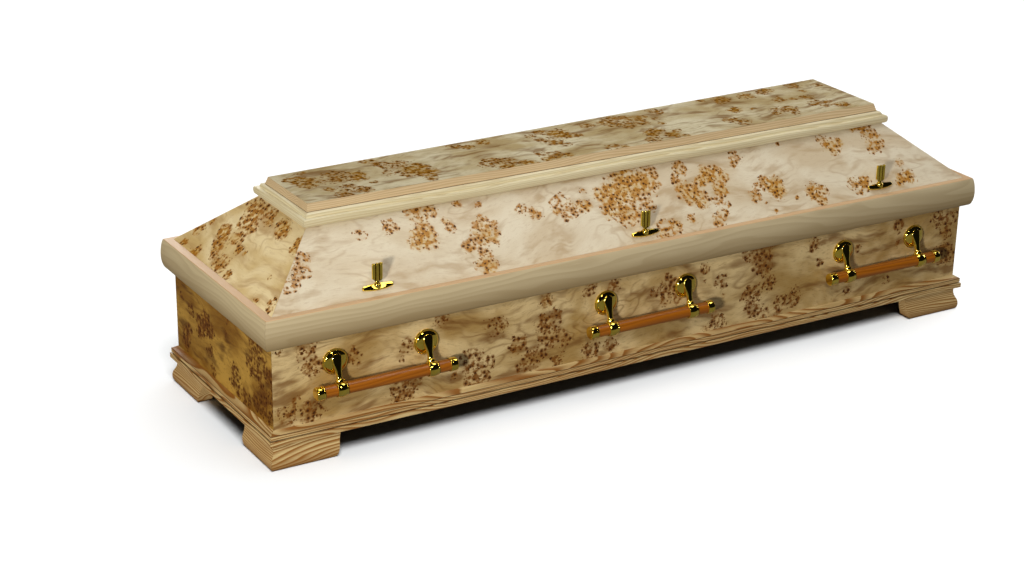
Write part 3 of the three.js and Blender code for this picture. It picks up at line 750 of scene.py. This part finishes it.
FRONT_SLOPE = [
    (-878, 464, 20, 0.1), (-932, 429, 24, 0), (-892, 443, 22, 0), (-718, 485, 16, 0),
    (-640, 488, 20, 0.2), (-560, 503, 34, 0.5), (-525, 502, 18, 0.7), (-556, 482, 12, 0.5),
    (-568, 459, 36, 0.9), (-590, 452, 24, 0.7), (-493, 470, 18, 0.2), (-498, 480, 12, 0.6),
    (-467, 430, 18, 0.6), (-415, 452, 34, 0.5), (-400, 440, 26, 0.7), (-425, 438, 22, 0.5),
    (-436, 412, 20, 0.4), (-465, 395, 12, 0.3), (-440, 388, 26, 0.7), (-450, 503, 14, 0.4),
    (-400, 494, 12, 0), (-410, 470, 18, 0.2), (-380, 460, 10, 0.5), (-296, 473, 16, 0.2),
    (-265, 462, 18, 0.4), (-206, 457, 10, 0.7), (-186, 470, 28, 0.1), (-170, 457, 30, 0.2),
    (-125, 458, 20, 0.8), (-112, 485, 8, 0.2), (-72, 472, 22, 0.8), (-30, 468, 44, 0.8),
    (-60, 445, 30, 0.7), (-25, 435, 40, 0.6), (-30, 420, 24, 0.3), (15, 488, 40, 0.9),
    (48, 480, 46, 0.8), (85, 490, 26, 0.4), (90, 470, 16, 0.4), (12, 460, 26, 0.7), (45, 438, 20, 0),
    (68, 388, 30, 0.1), (92, 392, 20, 0.4), (42, 383, 14, 0.5), (143, 398, 15, 0.2),
    (178, 492, 22, 0.5), (158, 470, 20, 0.2), (172, 443, 34, 0.6), (195, 428, 26, 0.5),
    (152, 452, 18, 0.5), (215, 458, 18, 0.7), (245, 470, 28, 0.8), (268, 468, 28, 0.5),
    (288, 462, 18, 0.4), (262, 440, 26, 0.6), (238, 420, 18, 0.1), (262, 412, 10, 0),
    (238, 395, 16, 0.4), (215, 385, 20, 0.3), (345, 492, 20, 0.2), (330, 480, 12, 0.2),
    (350, 414, 18, 0.3), (368, 432, 12, 0.1), (400, 432, 24, 0.6), (420, 420, 30, 0.8),
    (435, 432, 18, 0.5), (372, 400, 8, 0), (393, 381, 8, 0.2), (466, 395, 8, 0.3), (528, 398, 26, 0.6),
    (550, 400, 20, 0.3), (535, 385, 20, 0.5), (490, 502, 6, 0.2), (625, 492, 18, 0.1),
    (645, 478, 26, 0.6), (676, 480, 14, 0.9), (640, 468, 16, 0.2), (740, 503, 16, 0.8),
    (775, 497, 26, 0.4), (790, 475, 22, 0.2), (775, 464, 26, 0.4), (800, 466, 14, 0.2),
    (655, 400, 20, 0.4), (688, 397, 22, 0.6), (660, 385, 14, 0.2), (828, 422, 14, 0.3),
    (800, 388, 20, 0.7), (832, 392, 22, 0.8),
]
FOOT_WALL = [
    (168, 279, 16, 0.4), (205, 266, 22, 0.2), (228, 258, 18, 0.2), (175, 235, 26, 0.3),
    (160, 210, 26, 0.4), (200, 205, 22, 0.5), (238, 222, 22, 0.3), (262, 225, 22, 0.7),
    (215, 172, 22, 0.3), (245, 162, 26, 0.2), (265, 175, 18, 0.2), (190, 135, 30, 0.1),
    (225, 128, 28, 0.1), (255, 120, 20, 0.1), (70, 158, 26, 0.2), (55, 132, 20, 0.3),
    (85, 120, 22, 0.2), (112, 118, 26, 0.3), (135, 115, 20, 0.2), (33, 277, 10, 0.9),
    (20, 240, 10, 0.3), (-95, 222, 34, 1.0), (-125, 205, 30, 1.0), (-129, 187, 18, 1.0),
    (-65, 212, 22, 0.8), (-215, 148, 26, 1.0), (-222, 128, 22, 1.0), (-200, 162, 22, 0.8),
    (-183, 228, 20, 0.7), (-237, 243, 12, 0.5), (-75, 162, 18, 0.3), (-60, 110, 18, 0.4),
]
FOOT_SLOPE = [
    (-110, 490, 26, 0.7), (-82, 478, 34, 0.8), (-60, 492, 24, 0.6), (-22, 490, 24, 0.4),
    (-8, 484, 16, 0.5), (-70, 460, 28, 0.6), (-45, 458, 18, 0.7), (-95, 458, 18, 0.6),
    (36, 492, 18, 0.5), (55, 486, 26, 0.8), (72, 478, 18, 0.5), (140, 486, 14, 0.9),
    (150, 474, 18, 0.9), (-132, 432, 22, 0.9), (-115, 425, 28, 0.9), (-105, 408, 24, 0.8),
    (-65, 436, 22, 0.5), (-48, 434, 14, 0.5), (-85, 404, 22, 0.3), (-78, 392, 16, 0.2),
    (-22, 422, 15, 0.9), (7, 424, 7, 1.0), (-220, 410, 20, 0.8), (-202, 434, 12, 0.9),
    (-30, 392, 26, 0.3), (-50, 386, 18, 0.4), (20, 384, 15, 0.6), (-160, 381, 20, 0.9),
    (-226, 380, 14, 0.9), (236, 392, 18, 0.2), (250, 384, 14, 0.2), (182, 381, 10, 0.3),
    (160, 418, 8, 0.2),
]
TOP_SHEET = [
    (-765, 40, 36, 0.7), (-790, 60, 20, 0.6), (-770, 8, 26, 0.7), (-745, 92, 14, 0.2),
    (-730, 20, 18, 0.3), (-685, 55, 24, 0.1), (-688, 15, 26, 0.3), (-655, 40, 16, 0.1),
    (-628, 22, 20, 0.9), (-640, -8, 24, 0.9), (-735, -45, 16, 0.7), (-685, -42, 18, 0.1),
    (-620, -45, 12, 0.6), (-715, -85, 24, 0.3), (-670, -80, 26, 0.5), (-568, 92, 24, 0.5),
    (-555, 68, 18, 0.2), (-540, 40, 26, 0.2), (-505, 40, 24, 0.3), (-560, -5, 20, 0.2),
    (-500, -20, 34, 0.9), (-480, -45, 34, 1.0), (-475, -5, 22, 0.9), (-525, -40, 20, 0.3),
    (-490, -85, 20, 0.6), (-475, 15, 14, 0.8), (-325, 88, 18, 0.3), (-300, 72, 18, 0.7),
    (-250, 88, 24, 0.6), (-300, -40, 18, 0.3), (-325, -65, 22, 0.1), (-275, -70, 32, 0.4),
    (-290, -100, 26, 0.8), (-230, -105, 26, 0.9), (-165, -60, 20, 0.2), (-140, -75, 24, 0.4),
    (-165, -105, 26, 0.9), (-115, -95, 18, 0.8), (-115, 70, 18, 0.1), (-108, 25, 22, 0.3),
    (-90, 0, 24, 0.7), (-45, 55, 34, 1.0), (-40, 35, 26, 0.9), (-80, 90, 16, 0.5), (-75, -25, 16, 0.1),
    (-10, 20, 18, 0.5), (50, 78, 22, 0.3), (110, 75, 22, 0.7), (140, 92, 30, 0.5), (175, 80, 24, 0.5),
    (205, 65, 24, 0.7), (120, 50, 20, 0.1), (150, 30, 24, 0.2), (190, 30, 24, 0.3), (232, 0, 12, 0.7),
    (240, 40, 12, 0.1), (165, -50, 24, 0.9), (185, -40, 22, 0.8), (160, -65, 18, 0.6),
    (205, -88, 24, 0.9), (230, -70, 14, 0.4), (135, -98, 22, 0.4), (230, -112, 12, 0.7),
    (20, -98, 22, 0.4), (45, -112, 14, 0.8), (270, 90, 24, 0.4), (465, 2, 22, 1.0), (512, -12, 12, 0.4),
    (405, -60, 22, 0.5), (425, -90, 24, 0.2), (490, 95, 28, 0.7), (470, 75, 16, 0.4),
    (430, 108, 12, 0.5), (565, 90, 26, 0.6), (640, 104, 24, 0.9), (620, 90, 18, 0.3),
    (625, 22, 20, 0.2), (660, 12, 12, 0.6), (570, -55, 26, 0.2), (600, -55, 24, 0.7),
    (545, -70, 16, 0.5), (590, -90, 18, 0.1), (700, 0, 22, 0.3), (690, -45, 24, 0.2),
    (720, -60, 22, 0.3), (745, -92, 22, 0.8), (700, -80, 16, 0.4), (735, 105, 22, 0.3),
    (728, 53, 12, 0.6), (800, 80, 18, 0.2),
]


def scattered(seed, count, reach, low, high):
    """Islands of burl for a sheet that no picture shows, in little families."""
    dice = random.Random(seed)
    islands = []
    while len(islands) < count:
        middle = dice.uniform(-reach, reach), dice.uniform(low, high)
        golden = dice.random() * 0.8
        for _ in range(dice.randint(2, 5)):
            place = [m + dice.gauss(0, 24) for m in middle]
            islands.append((*place, dice.uniform(12, 32), golden * dice.random() * 1.4))
    return islands


def burl_at(islands, along, up):
    """How much a point of a sheet, in metres, belongs to an island, and how golden it is there."""
    drift = noise.noise_vector(Vector((along * 28, up * 28, 2.5))) * 0.006
    along, up = along + drift.x, up + drift.y
    burl = gold = 0.0
    for place, height, radius, golden in islands:
        away = math.hypot(along - place / 1000, up - height / 1000) * 1000 / radius
        if away < 1.5:
            strength = min(1.0, 1.5 - away)
            burl = max(burl, strength)
            gold = max(gold, strength * golden)
    return burl, gold


print("islands:", len(FRONT_WALL + FRONT_SLOPE + FOOT_WALL + FOOT_SLOPE + TOP_SHEET))

# %% [markdown]
# ## Veneered boards
# A board could be a box, but the veneer needs points to hold its islands of burl. So a board starts as
# a fine grid on its outer face, is extruded to its thickness, and is sawn at the mitres. The outer
# face gets the veneer, the edges and the inside stay plain.

# %% Board helper
STEP = 0.007
OVERHANG = 0.02


def sheet_layers(shape):
    """What a veneered board keeps on its vertices: place, burl, gold and grain."""
    layers = shape.verts.layers
    sheet, burl = layers.float_vector.new("sheet"), layers.float.new("burl")
    gold, grain = layers.float.new("gold"), layers.float_vector.new("grain")
    return sheet, burl, gold, grain


def veneered_board(side, low, high, low_z, high_z, thickness, islands, number):
    """A board as a bmesh, between a low and a high edge that lie on their own plans."""
    start, along, out = side_frame(side, low)
    top = side_frame(side, high)[0]
    rise = top - start + UP * (high_z - low_z)
    half = corner(low, 1, 1)[0 if side in ("front", "back") else 1] + OVERHANG
    shape = bmesh.new()
    columns, rows = round(2 * half / STEP), max(2, round(rise.length / STEP))
    bmesh.ops.create_grid(shape, x_segments=columns, y_segments=rows, size=0.5)
    across = along.cross(rise).normalized()
    frame_of_face = Matrix((along * 2 * half, rise, across)).transposed().to_4x4()
    frame_of_face.translation = start + UP * low_z + rise / 2
    bmesh.ops.transform(shape, matrix=frame_of_face, verts=shape.verts)
    inset = thickness * rise.length / (high_z - low_z)
    bmesh.ops.translate(shape, verts=extruded(shape, shape.faces[:]), vec=-out * inset)
    for place, away in mitre_planes(side, low, high if high != low else inside(low)):
        cut_off(shape, place, away)
    bmesh.ops.recalc_face_normals(shape, faces=shape.faces)
    outer = across if across.dot(out) > 0 else -across
    sheet_layer, burl_layer, gold_layer, grain_layer = sheet_layers(shape)
    shift = Vector((number * 3.7, number * 1.3, 0))
    for face in shape.faces:
        face.material_index = 0 if face.normal.dot(outer) > 0.9 else 1
    sense = -1 if side == "foot" else 1
    for vert in shape.verts:
        away = vert.co - start - UP * low_z
        place, height = away.dot(along), away.dot(rise.normalized())
        vert[sheet_layer] = Vector((place, height, 0)) + shift
        vert[grain_layer] = Vector((place, away.dot(out), vert.co.z)) + shift
        if away.dot(outer) > -0.001:
            vert[burl_layer], vert[gold_layer] = burl_at(islands, place * sense, height)
    return shape


def along_rise(islands, low_z, high_z, length):
    """Turns the heights of islands into distances up a sloping board, in millimetres."""
    stretch = length / (high_z - low_z)
    return [(x, (z - low_z * 1000) * stretch, r, g) for x, z, r, g in islands]


# %% Case walls and sloping panels
WALL_LOW, WALL_HIGH = 0.063, 0.2997
SLOPE_LOW, SLOPE_HIGH = 0.3753, 0.5097
LOW_PLAN, HIGH_PLAN = (0.998, 0.291), (0.834, 0.134)
WALL_THICKNESS, SLOPE_THICKNESS = 0.02, 0.016
hidden_wall = scattered(11, 60, 980, 100, 295)
hidden_end = scattered(12, 22, 270, 100, 295)
hidden_slope = scattered(13, 80, 930, 380, 505)
hidden_end_slope = scattered(14, 26, 240, 380, 505)
WALLS = {"front": FRONT_WALL, "back": hidden_wall, "foot": FOOT_WALL, "head": hidden_end}
SLOPES = {"front": FRONT_SLOPE, "back": hidden_slope, "foot": FOOT_SLOPE, "head": hidden_end_slope}
for number, side in enumerate(SIDES):
    is_long = side in ("front", "back")
    lifted = along_rise(WALLS[side], WALL_LOW, WALL_HIGH, WALL_HIGH - WALL_LOW)
    wall = veneered_board(side, CASE_PLAN, CASE_PLAN, WALL_LOW, WALL_HIGH, WALL_THICKNESS, lifted,
                          2 * number + 1)
    node = f"case_side_{side}" if is_long else f"case_end_{side}"
    finishes = [VENEER["wall" if is_long else "end"], BOARD]
    as_piece([wall], f"{node}_veneered", finishes, node)
    across_slope = (LOW_PLAN[1] - HIGH_PLAN[1]) if is_long else (LOW_PLAN[0] - HIGH_PLAN[0])
    length = math.hypot(across_slope, SLOPE_HIGH - SLOPE_LOW)
    lifted = along_rise(SLOPES[side], SLOPE_LOW, SLOPE_HIGH, length)
    slope = veneered_board(side, LOW_PLAN, HIGH_PLAN, SLOPE_LOW, SLOPE_HIGH, SLOPE_THICKNESS, lifted,
                           2 * number + 2)
    finishes = [VENEER["slope" if is_long else "end_slope"], BOARD]
    as_piece([slope], f"lid_slope_{side}_veneered", finishes, f"lid_slope_{side}")
print("boards:", 2 * len(SIDES))

# %% [markdown]
# ## Top panel
# The top is a thick board whose upper face is veneered and whose edges slope outwards and are plain.
# It starts as a grid on the upper face, which is stretched to the tapered outline, extruded down and
# spread a little at the bottom.

# %% Top panel
TOP_LOW, TOP_HIGH = (0.828, 0.124, 0.5383), (0.823, 0.1165, 0.557)
panel = bmesh.new()
bmesh.ops.create_grid(panel, x_segments=236, y_segments=34, size=1.0)
for vert in panel.verts:
    x = vert.co.x * TOP_HIGH[0]
    vert.co = Vector((x, vert.co.y * (TOP_HIGH[1] + TAPER * x), TOP_HIGH[2]))
for vert in extruded(panel, panel.faces[:]):
    x = vert.co.x * TOP_LOW[0] / TOP_HIGH[0]
    share = vert.co.y / (TOP_HIGH[1] + TAPER * vert.co.x)
    vert.co = Vector((x, share * (TOP_LOW[1] + TAPER * x), TOP_LOW[2]))
bmesh.ops.recalc_face_normals(panel, faces=panel.faces)
sheet_layer, burl_layer, gold_layer, grain_layer = sheet_layers(panel)
for face in panel.faces:
    face.material_index = 0 if face.normal.z > 0.9 else 1
for vert in panel.verts:
    vert[sheet_layer] = Vector((vert.co.x + 41, vert.co.y + 5, 0))
    vert[grain_layer] = vert.co.copy()
    vert[burl_layer], vert[gold_layer] = burl_at(TOP_SHEET, vert.co.x, vert.co.y)
piece = as_piece([panel], "lid_top_panel_veneered", [VENEER["top"], EDGE_WOOD], "lid_top_panel")
print(piece.name, len(piece.data.polygons), "faces")

# %% [markdown]
# ## Turned brass
# The fittings are turned parts, so each one is a half outline that spins round an axis, as on a lathe.
# An outline is given as radius and distance along the axis, in millimetres.


# %% Lathe
def turned(outline, steps=48):
    """A solid of revolution round Z, from an outline that starts and ends on the axis or is closed."""
    shape = bmesh.new()
    points = curve_points(outline)
    verts = [shape.verts.new((radius, 0, height)) for radius, height in points]
    edges = [shape.edges.new(pair) for pair in zip(verts, verts[1:])]
    bmesh.ops.spin(
        shape, geom=verts + edges, cent=(0, 0, 0), axis=(0, 0, 1),
        angle=2 * math.pi, steps=steps, use_merge=True,
    )
    bmesh.ops.remove_doubles(shape, verts=shape.verts, dist=1e-6)
    bmesh.ops.recalc_face_normals(shape, faces=shape.faces)
    return shape


def placed(shape, matrix):
    """The same bmesh, moved."""
    bmesh.ops.transform(shape, matrix=matrix, verts=shape.verts)
    return shape


TO_FRONT = Matrix.Rotation(math.pi / 2, 4, "X")
TO_SIDE = Matrix.Rotation(math.pi / 2, 4, "Y")
print("lathe ready")

# %% [markdown]
# ## Handles
# A handle is a wooden bar in two brass brackets, with a brass cap on each end. A bracket is one
# casting: a round flange with a low dome on the wall, an arm as flat as a leaf that leans out and
# down, and a sleeve round the bar. The arm is turned round first and then pressed flat, because that
# keeps its swelling outline. The parts are made round Z, turned to where they point, and joined by a
# boolean, so that the bracket is one closed skin.

# %% Bracket
DOME_HEIGHT, BAR_HEIGHT, BAR_REACH = 0.236, 0.179, 0.031
FLANGE_OUTLINE = [
    (0, 0), (31.4, 0), ((31.8, 0), (32, 0.3), (32, 0.8)), (32, 2.2),
    ((32, 3), (31.6, 3.3), (31.2, 3.4)), (30, 3.4), ((30, 9), (18, 13.5), (0, 13.5)),
]
ARM_START = Vector((0, -0.006, 0.021))
BAR_FROM_DOME = Vector((0, -BAR_REACH, BAR_HEIGHT - DOME_HEIGHT))
LEAF_END, LEAF_HALF, LEAF_ROUND = 0.056, 0.0068, 0.55
ARM_OUTLINE = [
    (0, 0), ((9, 0), (13, 4), (13, 12)), ((13, 26), (8.6, 36), (7, 46)), ((6.7, 52), (6.6, 54), (6.8, 56)),
    ((7, 58), (8.2, 57.6), (9.2, 59)), (9.7, 61.6), (9.7, 66), (0, 66),
]
SLEEVE_OUTLINE = [
    (15.3, -13), (16.2, -13), ((17.2, -12.8), (17.2, -10.8), (16.6, -10.4)),
    ((18.2, -7), (18.9, -3.5), (18.9, 0)), ((18.9, 3.5), (18.2, 7), (16.6, 10.4)),
    ((17.2, 10.8), (17.2, 12.8), (16.2, 13)), (15.3, 13), (15.3, -13),
]


def loose_object(shape):
    """A bmesh as an object for a modifier."""
    mesh = bpy.data.meshes.new("loose")
    shape.to_mesh(mesh)
    shape.free()
    return in_scene("loose", mesh)


def joined(shapes):
    """One skin round several overlapping shapes, as a mesh."""
    things = [loose_object(shape) for shape in shapes]
    for other in things[1:]:
        union = things[0].modifiers.new("union", "BOOLEAN")
        union.operation = "UNION"
        union.solver = "EXACT"
        union.object = other
    evaluated = things[0].evaluated_get(bpy.context.evaluated_depsgraph_get())
    mesh = bpy.data.meshes.new_from_object(evaluated)
    for thing in things:
        bpy.data.objects.remove(thing)
    return mesh


lean = (BAR_FROM_DOME - ARM_START).to_track_quat("Z", "Y").to_matrix().to_4x4()
leaf = turned(ARM_OUTLINE)
for vert in leaf.verts:
    radius = math.hypot(vert.co.x, vert.co.y)
    if 0 < radius and vert.co.z < LEAF_END:
        share = abs(vert.co.y) / radius
        vert.co.y = math.copysign(min(radius, LEAF_HALF) * share ** LEAF_ROUND, vert.co.y)
bracket_mesh = joined([
    placed(turned(FLANGE_OUTLINE, 64), TO_FRONT),
    placed(leaf, Matrix.Translation(ARM_START) @ lean),
    placed(turned(SLEEVE_OUTLINE, 64), Matrix.Translation(BAR_FROM_DOME) @ TO_SIDE),
])
print("bracket", len(bracket_mesh.polygons), "faces")

# %% Cap and bar
CAP_OUTLINE = [
    (0, 20), (11.5, 20), ((14.5, 20), (16.2, 18.4), (16.3, 16)), (16.3, 5), (15.9, 4.4),
    ((16.7, 4), (16.7, 0.5), (15.9, 0)), (15.3, 0), (15.3, 17.3), (0, 17.3),
]
cap_mesh = joined([placed(turned(CAP_OUTLINE, 64), TO_SIDE)])
BAR_HALF, BAR_RADIUS, CAP_START = 0.178, 0.0145, 0.161


def wooden_bar():
    """A round bar along X, with its grain along it."""
    shape = bmesh.new()
    bmesh.ops.create_cone(
        shape, cap_ends=True, segments=64, radius1=BAR_RADIUS, radius2=BAR_RADIUS, depth=2 * BAR_HALF,
    )
    placed(shape, TO_SIDE)
    keep_grain(shape, Vector(), Vector((1, 0, 0)), Vector((0, -1, 0)))
    return shape


print("cap", len(cap_mesh.polygons), "faces, bar", 2 * BAR_HALF)

# %% [markdown]
# ## Putting the handles on
# Both long walls carry three handles. One matrix stands for each wall: X runs along it and -Y points
# out of it, so the same handle serves for both, turned half round for the back.


# %% Place handles
def wall_matrix(side):
    """X along a long wall and -Y out of it."""
    angle = math.atan(TAPER)
    if side == "front":
        return Matrix.Translation((0, -CASE_PLAN[1], 0)) @ Matrix.Rotation(-angle, 4, "Z")
    return Matrix.Translation((0, CASE_PLAN[1], 0)) @ Matrix.Rotation(math.pi + angle, 4, "Z")


def copied(mesh, matrix):
    """A bmesh copy of a mesh, moved."""
    shape = bmesh.new()
    shape.from_mesh(mesh)
    return placed(shape, matrix)


PITCH, HALF_SPAN, CLEARANCE = 0.728, 0.117, 0.0003
PLACES = [
    (side, place, (number - 1) * PITCH, 1 if side == "front" else -1)
    for side in ("front", "back") for number, place in enumerate(("foot", "middle", "head"))
]
for side, place, x, towards_head in PLACES:
    name = f"{side}_{place}_handle"
    spot = wall_matrix(side) @ Matrix.Translation((towards_head * x, 0, 0))
    bar_spot = spot @ Matrix.Translation((0, -BAR_REACH, BAR_HEIGHT))
    bar = placed(wooden_bar(), bar_spot)
    as_piece([bar], f"{name}_wood", [BAR_WOOD], f"{name}_bar")
    for letter, sign in (("a", -1), ("b", 1)):
        way = sign * towards_head
        at = spot @ Matrix.Translation((way * HALF_SPAN, -CLEARANCE, DOME_HEIGHT))
        as_piece([copied(bracket_mesh, at)], f"{name}_brass_{letter}", [BRASS],
                 f"{name}_bracket_{letter}", 50)
        half_turn = Matrix.Rotation(0 if way > 0 else math.pi, 4, "Z")
        at = bar_spot @ Matrix.Translation((way * CAP_START, 0, 0)) @ half_turn
        as_piece([copied(cap_mesh, at)], f"{name}_end_{letter}", [BRASS],
                 f"{name}_cap_{letter}", 50)
print("handles:", len(PLACES))

# %% [markdown]
# ## Lid screws
# Six upright screws hold the lid down. Each has a flat grip with three reeds to turn it by, and stands
# on a small boat-shaped plate that follows the slope. The grip is three rods side by side with a thin
# web between them, and two slanting cuts narrow it towards the collar. The web takes the dull dark
# brass, which is painted shade between the reeds.

# %% Screw and plate
SLOPE_TILT = math.atan2(SLOPE_HIGH - SLOPE_LOW, LOW_PLAN[1] - HIGH_PLAN[1])
SCREW_HEIGHT = 0.390
REED_PITCH, REED_RADIUS, REED_LENGTH, REED_MIDDLE = 0.0096, 0.0039, 0.045, 0.0355
WEB_SIZE, WEB_MIDDLE = (2 * REED_PITCH, 0.0028, 0.044, 1), 0.0352


def grip():
    """Three reeds and their web, narrowed at the foot, with rounded tops."""
    shape = bmesh.new()
    for x in (-REED_PITCH, 0, REED_PITCH):
        rod = bmesh.ops.create_cone(
            shape, cap_ends=True, segments=32, radius1=REED_RADIUS, radius2=REED_RADIUS,
            depth=REED_LENGTH, matrix=Matrix.Translation((x, 0, REED_MIDDLE)),
        )
        tops = {v for v in rod["verts"] if v.co.z > 0.05}
        edges = [e for v in rod["verts"] if v in tops for e in v.link_edges if tops.issuperset(e.verts)]
        bmesh.ops.bevel(
            shape, geom=list(set(edges)), offset=0.0009, segments=3, affect="EDGES", profile=0.5,
            material=-1,
        )
    web = Matrix.Translation((0, 0, WEB_MIDDLE)) @ Matrix.Diagonal(WEB_SIZE)
    made = bmesh.ops.create_cube(shape, size=1, matrix=web)
    # The web takes the second material, the painted shade between the reeds.
    for face in {face for vert in made["verts"] for face in vert.link_faces}:
        face.material_index = 1
    for sign in (-1, 1):
        away = Vector((sign * 0.009, 0, -0.0095)).normalized()
        cut_off(shape, Vector((sign * 0.004, 0, 0.013)), away)
    return shape


STEM_OUTLINE = [
    (0, -30), (3, -30), (3, 9.3), (6.6, 9.3), ((7.4, 9.4), (7.4, 10.8), (6.6, 10.9)), (4.4, 11.2),
    ((5.4, 12.4), (5.2, 15.2), (3.6, 16.4)), (0, 17),
]


PLATE_THICKNESS = 0.005


def plate():
    """The boat-shaped plate without its boss, tilted to lie on the slope."""
    shape = bmesh.new()
    outline = curve_points([
        (-36, -4.6), ((-12, -10.6), (12, -10.6), (36, -4.6)), ((40, -4.6), (40, 4.6), (36, 4.6)),
        ((12, 8.6), (-12, 8.6), (-36, 4.6)), ((-40, 4.6), (-40, -4.6), (-36, -4.6)),
    ])[:-1]
    face = shape.faces.new([shape.verts.new((x, y, 0.0003)) for x, y in outline])
    bmesh.ops.translate(shape, verts=extruded(shape, [face]), vec=(0, 0, PLATE_THICKNESS))
    rim = [e for e in shape.edges if all(v.co.z > PLATE_THICKNESS for v in e.verts)]
    bmesh.ops.bevel(shape, geom=rim, offset=0.0014, segments=4, affect="EDGES", profile=0.5, material=-1)
    return placed(shape, Matrix.Rotation(SLOPE_TILT, 4, "X"))


BOSS_OUTLINE = [(0, -4), (9.2, -4), (9.2, 3.5), ((9.2, 6.4), (8.6, 8.6), (6.6, 9)), (0, 9)]
plate_mesh = joined([plate(), turned(BOSS_OUTLINE)])
stem_mesh = joined([turned(STEM_OUTLINE, 32)])
print("plate", len(plate_mesh.polygons), "faces, stem", len(stem_mesh.polygons))

# %% Place the screws
for side, place, x, towards_head in PLACES:
    name = f"{side}_{place}_lid_screw"
    rise = (SCREW_HEIGHT - SLOPE_LOW) / (SLOPE_HIGH - SLOPE_LOW)
    width = LOW_PLAN[1] + (HIGH_PLAN[1] - LOW_PLAN[1]) * rise + TAPER * x
    turn = wall_matrix(side).to_3x3().to_4x4()
    at = Matrix.Translation((x, -towards_head * width, SCREW_HEIGHT)) @ turn
    as_piece([placed(grip(), at), copied(stem_mesh, at)], f"{name}_grip", [BRASS, PAINTED_SHADE_BRASS],
             name, 40)
    as_piece([copied(plate_mesh, at)], f"{name}_boat", [BRASS], f"{name}_plate", 40)
print("lid screws:", len(PLACES))

# %% [markdown]
# ## The hidden floor board
# The floor of the case can only be seen from below. Its solid is right as it is, and gets the plain
# board finish.

# %% Carried solids
for label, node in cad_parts.items():
    if not node.hide_render:
        node.data.materials.clear()
        node.data.materials.append(BOARD)
        print("carried:", label)
